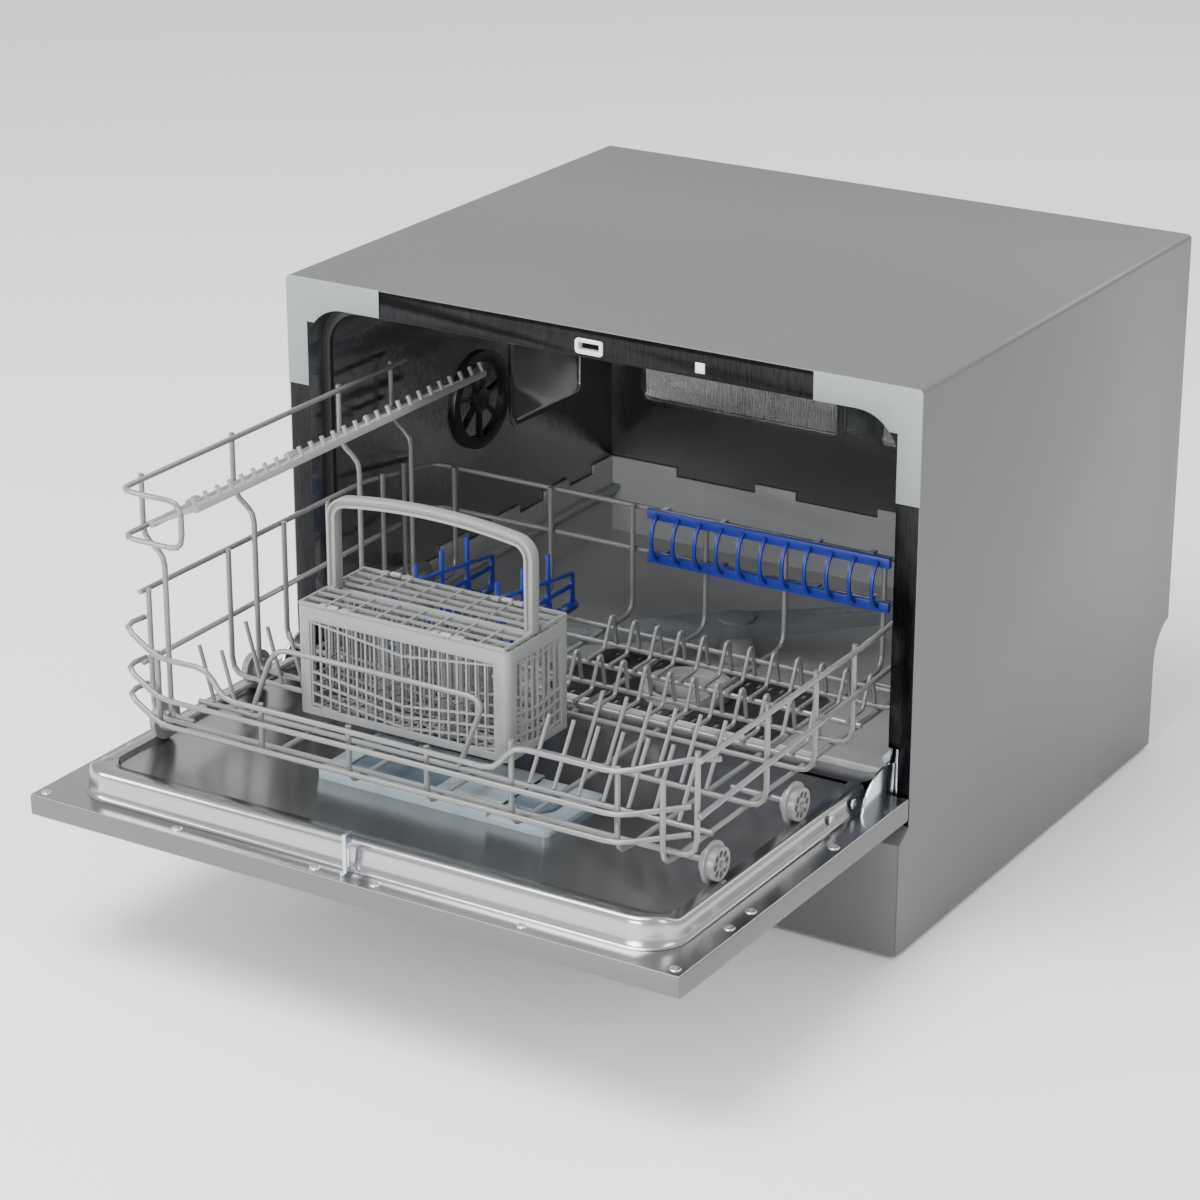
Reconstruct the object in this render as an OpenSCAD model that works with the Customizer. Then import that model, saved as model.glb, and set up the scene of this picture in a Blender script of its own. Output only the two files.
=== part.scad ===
// Countertop dishwasher for six place settings, drop-down door open and rack drawn out over it.
// Lengths are millimetres, +Z is up, the door faces -Y and +X is to the right seen from the front.
// The origin is on the worktop, in the middle of the whole object with its door open.

/* [Cabinet] */

// Width of the cabinet and of the door
cab_w = 550; // [500:1:600]
// Height from the worktop to the top sheet
cab_h = 438; // [420:1:480]
// Depth of the cabinet without its door
cab_d = 472; // [455:1:520]
// Thickness of the painted sheet
sheet_t = 1; // [0.7:0.1:1.5]
// Outer radius of the fold between the top and the sides
fold_r = 4; // [2:0.5:8]
// Height that the feet lift the cabinet
foot_h = 3; // [2:0.5:8]
// Radius of one foot
foot_r = 14; // [10:1:18]
// Distance of the feet from the cabinet's corners
foot_in = 42; // [30:1:60]
// How far the kick plate stands before the front, level with the closed door
kick_out = 15; // [8:1:18]
// Gap between the open door's underside and the kick plate
kick_gap = 5.7; // [3:0.1:10]
// Height over which the kick plate slopes back to the front
kick_slope = 10; // [6:1:16]
// Depth of the recess low down at the rear
recess_d = 26; // [15:1:32]
// Height of the straight part of the rear recess
recess_z = 75; // [60:1:80]
// Radius of the rear recess's rounded roof
recess_r = 34; // [32:1:36]
// Wall height of the base tray
tray_h = 60; // [40:1:64]
// Wall thickness of the base tray
tray_t = 2.5; // [2:0.1:4]

/* [Tub] */

// Width of the flange beside the mouth
mouth_in = 19; // [16:0.5:30]
// Height of the flange above the mouth
mouth_down = 22; // [18:0.5:30]
// How far the mouth's sill stands above the open door
sill_up = 1; // [0.5:0.1:3]
// Corner radius of the mouth
mouth_r = 33; // [20:1:45]
// Depth of the mouth before the step that carries the seal
mouth_d = 24; // [18:1:30]
// Distance of the tub's side walls from the cabinet's sides
tub_in = 26; // [25:0.5:34]
// Distance of the tub's ceiling from the cabinet's top
tub_down = 29; // [26:0.5:40]
// Distance of the tub's rear wall from the cabinet's rear
tub_back = 34; // [30:0.5:40]
// Corner radius inside the tub
tub_r = 30; // [20:1:40]
// Thickness of the stainless sheet
steel_t = 1; // [0.6:0.1:1.5]
// Height of the plastic base's walls above the runners
base_up = 24.7; // [18:0.1:34]
// Depth of the plastic floor below the open door
floor_down = 29; // [26:0.5:34]
// Wall thickness of the plastic base
base_t = 2.5; // [2:0.1:3.5]
// Width of one tooth along the base's upper edge
tooth_w = 40; // [20:1:50]
// Depth of the gaps between those teeth
tooth_d = 8; // [4:1:12]
// Width of one runner
rail_w = 8.5; // [6:0.5:9]
// Thickness of one runner
rail_t = 4; // [3:0.5:6]
// Radius of the vent in the left wall
vent_r = 42; // [30:1:46]
// Distance of the vent's centre from the front
vent_y = 225; // [200:1:250]
// How far the vent stands out of the wall
vent_t = 4.5; // [3:0.5:5]
// Height of a pressed bead in the steel walls
bead_t = 1.6; // [1:0.1:2.5]
// Width of a pressed bead
bead_w = 7; // [5:0.5:12]
// Length of a corner bracket's arm, across and down
bracket_len = 87; // [60:1:100]
// Thickness of the seal
seal_t = 5; // [3:0.5:7]

/* [Door] */

// Gap that the closed door leaves below the cabinet's top
top_gap = 2; // [1:0.1:4]
// Gap between the cabinet and the open door's rear end
door_gap = 2; // [1.5:0.1:3]
// Height of the open door's inner flange
door_z = 126; // [124:1:128]
// Thickness of the door at its rim
door_t = 17.3; // [16:0.1:20]
// Wall thickness of the outer door panel
panel_t = 2; // [1.5:0.1:3]
// How far the raised rim of the liner reaches beyond the tub's walls
rim_out = 2; // [0:0.1:4]
// Distance of the raised rim from the door's free edge
rim_front = 20; // [16:1:26]
// Distance of the raised rim from the cabinet's front
rim_rear = 25; // [24:1:30]
// Height of the rim above the flange
rim_h = 15.3; // [14:0.1:16]
// Corner radius of the raised rim
rim_r = 30; // [20:1:40]
// Height of the lip along the free edge above the runners
lip_h = 6.4; // [2:0.1:8]
// Length over which the lip slopes down to the runners
lip_l = 14; // [8:0.5:20]
// Width of the rim along the free edge
field_in = 26; // [18:1:34]
// Depth of the field below the rim
field_d = 4.4; // [4:0.1:6]
// Distance of the hinge pins in front of the cabinet
pivot_y = 11; // [10:0.5:12]
// Depth of the hinge pins below the open door's flange
pivot_down = 10; // [8:0.5:12]
// Radius of a hinge pin
pivot_r = 3; // [2:0.5:4]
// Radius of the hinge quadrant
quadrant_r = 36; // [30:1:40]
// Thickness of a hinge plate
hinge_t = 2; // [1.5:0.1:3]
// Distance of the hinge plates from the cabinet's sides
hinge_in = 16; // [13:0.5:18]
// Height of the latch hook above the flange
hook_h = 31; // [24:1:34]
// Width of the latch hook along the door
hook_w = 12; // [8:1:16]
// Thickness of the latch hook
hook_t = 3; // [2:0.5:5]
// Distance of the latch hook from the door's free edge
hook_in = 12; // [10:1:14]
// Depth of the control fascia, along the door
fascia_d = 62; // [50:1:70]
// Radius of a push button
button_r = 6; // [4:0.5:8]
// Spacing of the push buttons
button_spacing = 30; // [20:1:40]
// How far a button stands out
button_out = 1.8; // [1.4:0.1:3]
// Width of the handle recess
grip_w = 130; // [100:1:160]
// Depth of the handle recess
grip_t = 11; // [8:0.5:12]

/* [Detergent dispenser] */

// Width of the dispenser
disp_w = 200; // [160:1:220]
// Depth of the dispenser along the door
disp_d = 78; // [60:1:90]
// Height of the dispenser above the field
disp_t = 7; // [5:0.5:8]
// Distance of the dispenser's middle from the door's free edge
disp_in = 153; // [130:1:175]
// Width of the sliding lid
lid_w = 76; // [60:1:80]
// Radius of the rinse aid cap
rinse_r = 17; // [12:1:22]

/* [Wash system] */

// Distance of the spray arm's pivot from the front
arm_y = 227; // [220:1:235]
// Reach of the spray arm
arm_r = 188; // [160:1:190]
// Height of the spray arm's underside above the plastic floor
arm_up = 25; // [23:0.5:28]
// Thickness of the spray arm
arm_t = 10; // [7:0.5:12]
// Direction in which the spray arm stands
arm_turn = 42; // [0:1:180]
// Radius of the arm's pivot pin
arm_pin_r = 5; // [4:0.5:7]
// Distance of the filter's middle from the front
filter_y = 140; // [130:1:150]
// Radius of the filter cup's rim
filter_r = 34; // [28:1:38]
// Width of the mesh plate
mesh_w = 214; // [180:1:230]
// Depth of the mesh plate
mesh_d = 108; // [100:1:110]
// Radius of the salt cap
salt_r = 25; // [20:1:30]

/* [Service connections] */

// Radius of the water inlet's threaded spigot
inlet_r = 13.2; // [12:0.1:14]
// Length of the water inlet's spigot
inlet_len = 20; // [14:1:22]
// Radius of the drain spigot
drain_r = 9.5; // [8:0.1:11]
// Length of the drain spigot
drain_len = 22; // [16:1:24]
// Height of both spigots
spigot_z = 42; // [36:1:56]

/* [Rack] */

// Radius of the frame wires
wire_r = 2.2; // [1.8:0.1:2.6]
// Radius of the tines
tine_r = 1.6; // [1.2:0.1:2]
// Distance of the drawn rack's front from the door's free edge
rack_in = 75; // [69:1:90]
// Depth of the rack
rack_d = 398; // [380:1:402]
// Radius of the bends in the frame wires
bend_r = 14; // [8:1:20]
// Distance of the gallery's upper wire below the mouth's upper edge
gallery_down = 68; // [60:1:80]
// How far the gallery's front loop reaches inwards
gallery_loop = 55; // [40:1:65]
// Height of the looped tines above the cross wires
loop_h = 26; // [20:1:32]
// Depth of a looped tine's narrow tip
loop_w = 14; // [10:0.5:18]
// Spacing of the tines
tine_spacing = 20.5; // [18:0.5:21]
// Height of the basket's retaining loop above the cross wires
keeper_h = 58; // [40:1:64]
// How far a slanted tine leans back
tine_back = 27; // [20:1:34]
// How far a slanted tine leans to the side
tine_side = 12; // [8:1:16]
// Height of the tips of the slanted tines above their wires
tine_up = 43; // [34:1:50]

/* [Wheels] */

// Radius of a wheel's tread
tread_r = 12.4; // [12:0.1:12.5]
// Radius of a wheel's inner flange
collar_r = 15.5; // [14:0.1:16]
// Radius of a wheel's inner hub
hub_r = 9; // [7:0.5:10]
// Number of spokes
spokes = 8; // [5:1:10]
// Width of a wheel's inner flange
flange_w = 2.6; // [2:0.1:3]
// Width of a wheel's tread
tread_w = 5.4; // [4.5:0.1:5.6]
// Width of a wheel's hub
hub_w = 5.2; // [4.6:0.1:5.6]
// Side play between a wheel's inner flange and its runner
flange_gap = 1; // [0.8:0.1:2]
// Running clearance on pins and axles
run_gap = 0.06; // [0.03:0.01:0.1]

/* [Cup shelf] */

// Width of the shelf across the rack
shelf_w = 62; // [50:1:66]
// How much shorter the shelf is than the rack
shelf_short = 26; // [20:1:60]
// Angle at which the shelf stands
shelf_tilt = 25; // [15:1:30]
// Spacing of the shelf's ribs
shelf_spacing = 14.3; // [12:0.1:20]

/* [Blue clips and fold-down combs] */

// Length of the blue rail clip
clip_l = 214; // [180:1:220]
// Number of ribs on the rail clip
clip_ribs = 11; // [8:1:12]
// How far the ribs stand into the rack
clip_out = 13; // [8:1:16]
// Width of a rib
rib_w = 3; // [2:0.1:4]
// Height of the combs' spikes
spike_h = 55; // [40:1:58]
// Spacing of the combs' spikes
spike_spacing = 36; // [30:1:38]
// Number of spaces between the spikes
comb_gaps = 4; // [3:1:4]
// Radius of a spike
spike_r = 2; // [1.5:0.1:2.5]

/* [Cutlery basket] */

// Length of the basket
basket_w = 185; // [160:1:190]
// Depth of the basket
basket_d = 82; // [70:1:84]
// Height of the basket
basket_h = 86; // [80:1:90]
// Thickness of the basket's walls
basket_t = 2.4; // [2:0.1:3]
// Width of a bar in the lattice
bar_w = 2.6; // [2:0.1:3.5]
// Number of openings along the basket
mesh_nx = 15; // [10:1:18]
// Number of openings across the basket
mesh_ny = 6; // [4:1:8]
// Number of openings up the basket
mesh_nz = 6; // [4:1:8]
// Height of the handle above the basket
handle_h = 79; // [60:1:84]
// Width of the handle's channel
handle_w = 10; // [8:0.5:12]
// How far the handle's crown is bowed up
handle_bow = 9; // [5:0.5:14]
// Thickness of the lids
basket_lid_t = 2.6; // [2:0.1:3.5]

/* [Hidden] */

$fn = 48;
seat_gap = 0.05;
free_gap = 0.4;
roll_gap = 0.3;
over = 5;
wire_sides = 8;
tine_sides = 6;
knuckle_r = 1.7 * pivot_r;
half_w = cab_w / 2;
in_x = half_w - sheet_t - seat_gap;
in_top = cab_h - sheet_t - seat_gap;
rear_t = sheet_t * 1.2;
wall_y = cab_d - recess_d;
roof_z = recess_z + sqrt(recess_r * recess_r - pow(recess_r - recess_d, 2));
pivot_z = door_z - pivot_down;
door_len = cab_h - top_gap - pivot_z + pivot_y;
front_y = (door_len - cab_d) / 2;
rim_z = door_z + rim_h;
field_z = rim_z - field_d;
rail_z = rim_z;
door_low = door_z - door_t;
pan_top = door_z - steel_t - seat_gap;
kick_top = door_low - kick_gap;
kick_z = kick_top - kick_slope;
mouth_w = cab_w - 2 * mouth_in;
mouth_top = cab_h - mouth_down;
mouth_bot = door_z + sill_up;
tub_w = cab_w - 2 * tub_in;
tub_top = cab_h - tub_down;
tub_rear = cab_d - tub_back;
floor_z = door_z - floor_down;
base_top = rail_z + base_up;
vent_share = 0.461;
vent_z = base_top + vent_share * (tub_top - base_top);
rail_x = tub_w / 2 - base_t - rail_w - seat_gap;
rim_x = tub_w / 2 + rim_out;
field_x = rail_x + free_gap;
hinge_x = half_w - hinge_in;
hook_y = -door_len + hook_in;
keeper_z = pivot_z + door_len - hook_in - pivot_y;
disp_y = door_len - disp_in;
arm_z = floor_z + arm_up;
post_x = rail_x - flange_gap - 3 * wire_r - seat_gap + hub_w - tread_w / 2;
side_x = post_x + 2 * wire_r + seat_gap;
axle_z = rail_z + tread_r + roll_gap;
long_z = axle_z + 2 * wire_r + seat_gap;
cross_z = long_z + 2 * wire_r + seat_gap;
tine_z = cross_z + wire_r + tine_r + seat_gap;
pivot_wire_z = cross_z + 2 * wire_r + seat_gap;
rack_front = door_len - rack_in;
rack_rear = rack_d - rack_front;
front_leg = -rack_front + 2 * wire_r + seat_gap;
rear_leg = rack_rear - 2 * wire_r - seat_gap;
gallery_top = mouth_top - gallery_down;
loop_top = cross_z + loop_h;
keeper_top = cross_z + keeper_h;

// Heights of the wires, as shares of the rack's height from its floor to the gallery
gallery_share = 0.805;
left_shares = [0.233, 0.535];
right_shares = [0.179, 0.416];
rear_shares = [0.265, 0.46];
front_shares = [0.034, 0.146, 0.206, 0.319];
lift_share = 0.097;

// Places along the rack, as shares of its depth from the front
fore_share = 0.05;
carrier_share = 0.151;
cross_shares = [fore_share, 0.291, 0.467, 0.613, 0.799, 0.874];
rail_shares = [0.699, 0.513];
wheel_shares = [0.093, 0.379, 0.94];
gallery_shares = [0.065, 0.337, 0.681, 0.859];
comb_share = 0.729;
basket_share = 0.302;

// Places across the rack, as shares of the distance from its middle to its uprights
long_shares = [-0.923, -0.524, -0.193, 0.095, 0.4, 0.769, 0.923];
dip_shares = [-0.713, -0.653, 0.352, 0.421];
comb_shares = [-0.679, -0.352];
basket_x_share = -0.217;
clip_share = 0.34;
loop_shares = [-0.056, 0.004];
lean_shares = [0.309, 0.352];
left_tine_shares = [-0.893, -0.889];

function rack_z(share) = cross_z + share * (gallery_top - cross_z);
function rack_y(share) = share * rack_d - rack_front;

gallery_low = rack_z(gallery_share);
left_zs = [for (h = left_shares) rack_z(h)];
right_zs = [for (h = right_shares) rack_z(h)];
rear_zs = [for (h = rear_shares) rack_z(h)];
front_zs = [for (h = front_shares) rack_z(h)];
carrier_y = rack_y(carrier_share);
cross_ys = [for (h = cross_shares) rack_y(h)];
rail_ys = [for (h = rail_shares) rack_y(h)];
wheel_ys = [for (h = wheel_shares) rack_y(h)];
gallery_ys = [for (h = gallery_shares) rack_y(h)];
long_xs = post_x * long_shares;
dip_xs = post_x * dip_shares;
comb_xs = post_x * comb_shares;
gallery_x = -post_x - wire_r;
comb_y = rack_y(comb_share);
comb_l = comb_gaps * spike_spacing;
basket_x = post_x * basket_x_share;
basket_y = rack_y(basket_share);
basket_z = cross_z + wire_r + free_gap;
basket_top = basket_z + basket_h;
axle_l = tub_w * 0.12;
axle_end = side_x + tread_w + wire_r;
fascia_y = -door_len + fascia_d / 2 + over;
salt_x = -half_w * 0.61;
salt_y = filter_y - 1.3 * filter_r;
filter_x = filter_r * 0.15;
pump_z = foot_h + tray_t;

// Puts a piece that is drawn from the cabinet's front plane into the common frame
module placed() {
  translate([0, front_y, 0])
    children();
}

// Extrudes a shape given by x and z from the distance a to the distance b behind the front
module slab_y(a, b) {
  translate([0, b, 0])
    rotate([90, 0, 0])
      linear_extrude(b - a)
        children();
}

// Extrudes a shape given by y and z from the width a to the width b
module slab_x(a, b) {
  translate([a, 0, 0])
    rotate([90, 0, 90])
      linear_extrude(b - a)
        children();
}

// A rectangle with round corners, from its low corner
module round_rect(x0, y0, w, h, r) {
  translate([x0 + r, y0])
    square([w - 2 * r, h]);
  translate([x0, y0 + r])
    square([w, h - 2 * r]);
  for (x = [x0 + r, x0 + w - r], y = [y0 + r, y0 + h - r])
    translate([x, y])
      circle(r);
}

// A cylinder along X, centred at y and z, from the width a to the width b
module rod_x(a, b, y, z, r) {
  translate([a, y, z])
    rotate([0, 90, 0])
      cylinder(r = r, h = b - a);
}

// A cylinder along Y, centred at x and z, from the distance a to the distance b
module rod_y(a, b, x, z, r) {
  translate([x, a, z])
    rotate([-90, 0, 0])
      cylinder(r = r, h = b - a);
}

// A straight wire between two points, as a prism of eight sides
module straight_wire(a, b, r) {
  d = b - a;
  l = norm(d);
  translate(a)
    rotate([0, acos(d[2] / l), atan2(d[1], d[0])])
      cylinder(r = r, h = l, $fn = wire_sides);
}

function unit(v) = v / norm(v);

// Replaces each inner corner of a path by a short curve of n steps
function eased(p, r, n) = [
  for (i = [0 : len(p) - 1])
    each (i == 0 || i == len(p) - 1) ? [p[i]] :
    let (
      u = p[i - 1] - p[i],
      v = p[i + 1] - p[i],
      s = p[i] + unit(u) * min(r, norm(u) * 0.45),
      e = p[i] + unit(v) * min(r, norm(v) * 0.45)
    )
    [for (k = [0 : n]) let (t = k / n)
      (1 - t) * (1 - t) * s + 2 * t * (1 - t) * p[i] + t * t * e]
];

// Directions of travel at the points of a path
function headings(p) = [
  for (i = [0 : len(p) - 1])
    unit((i == 0 ? [0, 0, 0] : unit(p[i] - p[i - 1]))
      + (i == len(p) - 1 ? [0, 0, 0] : unit(p[i + 1] - p[i])))
];

// Side vectors that turn as little as they can along a path
function sides_of(d) = [
  for (i = 0, u = unit(cross(d[0], abs(d[0][2]) > 0.8 ? [0, 1, 0] : [0, 0, 1]));
    i < len(d);
    i = i + 1, u = i < len(d) ? unit(u - (u * d[i]) * d[i]) : u)
    u
];

// A bent wire: one closed tube of n sides along a path
module bent_wire(path, r, n) {
  d = headings(path);
  u = sides_of(d);
  m = len(path);
  rings = [
    for (i = [0 : m - 1], j = [0 : n - 1])
      let (a = 360 * j / n, v = cross(d[i], u[i]))
      path[i] + r * (cos(a) * u[i] + sin(a) * v)
  ];
  skin = [
    for (i = [0 : m - 2], j = [0 : n - 1])
      [i * n + j, (i + 1) * n + j, (i + 1) * n + (j + 1) % n, i * n + (j + 1) % n]
  ];
  first_cap = [for (j = [0 : n - 1]) j];
  last_cap = [for (j = [n - 1 : -1 : 0]) (m - 1) * n + j];
  polyhedron(points = rings, faces = concat(skin, [first_cap], [last_cap]));
}

// Outline of the cabinet's side, by depth and height
module side_outline() {
  difference() {
    polygon([[0, cab_h], [0, kick_top], [-kick_out, kick_z], [-kick_out, foot_h],
      [cab_d, foot_h], [cab_d, cab_h]]);
    translate([wall_y, 0])
      square([recess_d + over, recess_z]);
    translate([wall_y + recess_r, recess_z])
      circle(recess_r);
  }
}

// Top and sides of the folded casing, by width and height
module fold_outline(t) {
  w = cab_w - 2 * t;
  r = fold_r - t;
  translate([-w / 2, 0])
    square([w, cab_h - fold_r]);
  translate([-w / 2 + r, 0])
    square([w - 2 * r, cab_h - t]);
  for (x = [-w / 2 + r, w / 2 - r])
    translate([x, cab_h - fold_r])
      circle(r);
}

module outer_casing() {
  color([0.62, 0.62, 0.61])
  placed()
  intersection() {
    slab_y(-kick_out, cab_d)
      difference() {
        fold_outline(0);
        fold_outline(sheet_t);
      }
    slab_x(-half_w, half_w)
      side_outline();
  }
}

module rear_panel() {
  color([0.55, 0.56, 0.56])
  placed()
  slab_x(-in_x, in_x)
    union() {
      translate([cab_d - rear_t, roof_z])
        square([rear_t, in_top - fold_r - roof_z]);
      intersection() {
        difference() {
          translate([wall_y + recess_r, recess_z])
            circle(recess_r + rear_t);
          translate([wall_y + recess_r, recess_z])
            circle(recess_r);
        }
        translate([wall_y - rear_t, recess_z])
          square([recess_d + rear_t, recess_r + rear_t]);
      }
      translate([wall_y - rear_t, foot_h])
        square([rear_t, recess_z - foot_h]);
    }
}

module base_tray() {
  y0 = -kick_out + sheet_t + seat_gap;
  y1 = wall_y - rear_t - seat_gap;
  color([0.2, 0.2, 0.21])
  placed() {
    difference() {
      translate([-in_x, y0, foot_h])
        cube([2 * in_x, y1 - y0, tray_h]);
      translate([-in_x + tray_t, y0 + tray_t, foot_h + tray_t])
        cube([2 * (in_x - tray_t), y1 - y0 - 2 * tray_t, tray_h]);
      for (x = [inlet_x(), drain_x()])
        rod_y(y1 - 2 * tray_t, y1 + over, x, spigot_z, inlet_r + free_gap);
      rod_y(y1 - 2 * tray_t, y1 + over, gland_x(), spigot_z, gland_r() + free_gap);
    }
    for (y = [salt_y, salt_y + 3 * salt_r])
      translate([salt_x - salt_r, y, pump_z - seat_gap])
        cube([2 * salt_r, tray_t, tray_t + seat_gap]);
  }
}

function inlet_x() = half_w * 0.62;
function drain_x() = half_w * 0.36;
function gland_x() = -half_w * 0.6;
function gland_r() = tray_t * 3.2;

module kick_plate() {
  t = sheet_t;
  color([0.42, 0.42, 0.42])
  placed()
  slab_x(-in_x, in_x)
    polygon([[-kick_out, foot_h], [-kick_out, kick_z], [-t, kick_top - seat_gap], [t, kick_top - seat_gap],
      [t, kick_top - t], [t - kick_out, kick_z - t], [t - kick_out, foot_h]]);
}

module feet() {
  color([0.08, 0.08, 0.08])
  placed()
  for (x = [-half_w + foot_in, half_w - foot_in], y = [foot_in, wall_y - foot_in])
    translate([x, y, 0])
      cylinder(r = foot_r, h = foot_h);
}

// A pressed bead: a frame with round corners that stands out of a wall
module bead_frame(x0, y0, w, h, r) {
  difference() {
    round_rect(x0, y0, w, h, r);
    round_rect(x0 + bead_w, y0 + bead_w, w - 2 * bead_w, h - 2 * bead_w, r - bead_w);
  }
}

module tub_section(t) {
  round_rect(-tub_w / 2 - t, floor_z, tub_w + 2 * t, tub_top + t - floor_z, tub_r + t);
}

module mouth_section(t) {
  round_rect(-mouth_w / 2 - t, mouth_bot - t, mouth_w + 2 * t, mouth_top + 2 * t - mouth_bot, mouth_r + t);
}

module tub_shell() {
  steel_low = base_top - 2 * tooth_d;
  bead_r = 2 * bead_w;
  wall_h = tub_top - base_top;
  color([0.8, 0.8, 0.81])
  placed() {
    difference() {
      union() {
        slab_y(0, steel_t)
          difference() {
            fold_outline(sheet_t + seat_gap);
            translate([-half_w, 0])
              square([cab_w, kick_top + seat_gap]);
          }
        slab_y(0, mouth_d)
          mouth_section(steel_t);
        slab_y(mouth_d - steel_t, tub_rear + steel_t)
          difference() {
            tub_section(steel_t);
            translate([-half_w, 0])
              square([cab_w, steel_low]);
          }
      }
      slab_y(-over, mouth_d - steel_t)
        mouth_section(0);
      slab_y(mouth_d - 2 * steel_t, tub_rear)
        tub_section(0);
      for (s = [-1, 1])
        translate([s * hinge_x - 2.5 * hinge_t, -over, 0])
          cube([5 * hinge_t, 2 * over, door_z + quadrant_r]);
      slab_y(-over, steel_t + over)
        translate([-hook_w - seat_gap, keeper_z - 2 * hook_t - seat_gap])
          square([2 * (hook_w + seat_gap), 4 * hook_t + 2 * seat_gap]);
    }
    for (s = [-1, 1])
      slab_y(tub_rear - bead_t, tub_rear)
        bead_frame(s > 0 ? bead_r : -tub_w / 2 + 2 * bead_r, base_top + wall_h * 0.22,
          tub_w / 2 - 3 * bead_r, wall_h * 0.58, bead_r);
    slab_x(-tub_w / 2, -tub_w / 2 + bead_t)
      bead_frame(vent_y + vent_r + over, vent_z - vent_r, tub_rear * 0.27, 2 * vent_r * 1.1, bead_r);
    slab_x(tub_w / 2 - bead_t, tub_w / 2)
      bead_frame(mouth_d + 3 * bead_r, base_top + wall_h * 0.2, tub_rear - 6 * bead_r,
        wall_h * 0.5, bead_r);
  }
}

module tub_base() {
  ow = tub_w - 2 * seat_gap;
  y0 = mouth_d + seat_gap;
  y1 = tub_rear - seat_gap;
  sill_h = door_z + over - floor_z;
  teeth = floor((y1 - y0) / (2 * tooth_w));
  lead = 1.7 * tooth_w;
  teeth_x = floor((ow - lead) / (3 * tooth_w));
  color([0.42, 0.43, 0.44])
  placed() {
    difference() {
      translate([-ow / 2, y0, floor_z - base_t])
        cube([ow, y1 - y0, base_top - floor_z + base_t]);
      translate([-ow / 2 + base_t, y0 + base_t, floor_z])
        cube([ow - 2 * base_t, y1 - y0 - 2 * base_t, base_top]);
      translate([-ow / 2 + base_t, y0 - over, floor_z + sill_h])
        cube([ow - 2 * base_t, 2 * over + base_t, base_top]);
      for (i = [0 : teeth - 1])
        translate([-ow, y0 + tooth_w / 2 + i * 2 * tooth_w, base_top - tooth_d])
          cube([2 * ow, tooth_w, 2 * tooth_d]);
      for (i = [0 : teeth_x - 1])
        translate([-ow / 2 + lead + i * 3 * tooth_w, y1 - 2 * base_t, base_top - tooth_d])
          cube([2 * tooth_w, 3 * base_t, 2 * tooth_d]);
      translate([filter_x, filter_y, 0])
        cylinder(r = filter_r + base_t + free_gap, h = cab_h);
      translate([salt_x, salt_y, 0])
        cylinder(r = salt_r - base_t, h = cab_h);
      translate([0, arm_y, 0])
        cylinder(r = 2 * arm_pin_r, h = cab_h);
    }
  }
}

// The two runners inside the tub, continuing the door's
module tub_rails() {
  wall_x = tub_w / 2 - base_t - 2 * seat_gap;
  color([0.46, 0.47, 0.48])
  placed()
  for (s = [0, 1])
    mirror([s, 0, 0])
      slab_y(mouth_d + base_t + 2 * seat_gap, tub_rear - base_t - 2 * seat_gap)
        polygon([[rail_x, rail_z], [wall_x, rail_z], [wall_x, rail_z - rail_w - rail_t],
          [rail_x, rail_z - rail_t]]);
}

module corner_brackets() {
  arm = bracket_len;
  t = steel_t;
  color([0.72, 0.76, 0.74])
  placed()
  for (s = [0, 1])
    mirror([s, 0, 0])
      slab_y(-t, -seat_gap)
        difference() {
          intersection() {
            fold_outline(0);
            translate([half_w - arm, cab_h - arm])
              square(arm);
          }
          mouth_section(0);
          translate([0, in_top - arm - t])
            square([mouth_w / 2, arm - mouth_r]);
        }
}

module latch_keeper() {
  t = hook_t;
  color([0.86, 0.87, 0.86])
  placed()
  slab_y(-steel_t, steel_t * 6)
    difference() {
      round_rect(-hook_w, keeper_z - 2 * t, 2 * hook_w, 4 * t, t);
      translate([-hook_w + t, keeper_z - t])
        square([2 * hook_w - 2 * t, 2 * t]);
    }
}

module indicator_window() {
  s = hook_t * 2.6;
  color([0.9, 0.91, 0.9])
  placed()
  slab_y(-steel_t, -seat_gap)
    translate([half_w * 0.345 - s / 2, keeper_z - s / 2])
      square([s, s]);
}

module door_seal() {
  color([0.07, 0.07, 0.07])
  placed()
  slab_y(mouth_d - steel_t - seal_t, mouth_d - steel_t - seat_gap)
    difference() {
      mouth_section(-2 * seat_gap);
      tub_section(-seat_gap);
      translate([-half_w, 0])
        square([cab_w, floor_z + seal_t]);
      translate([-tub_w / 2, floor_z])
        square([tub_w, door_z + rim_h - floor_z]);
    }
}

module tub_vent() {
  spoke_n = 7;
  x0 = -tub_w / 2 + seat_gap;
  hub = vent_r * 0.24;
  color([0.1, 0.1, 0.1])
  placed()
  translate([x0, vent_y, vent_z])
    rotate([0, 90, 0]) {
      difference() {
        cylinder(r = vent_r, h = vent_t);
        translate([0, 0, -over])
          cylinder(r = vent_r * 0.78, h = 2 * vent_t + over);
      }
      cylinder(r = hub, h = vent_t);
      for (i = [0 : spoke_n - 1])
        rotate([0, 0, i * 360 / spoke_n])
          translate([0, -vent_t / 3, 0])
            cube([vent_r * 0.8, vent_t * 2 / 3, vent_t * 0.7]);
    }
}

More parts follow.
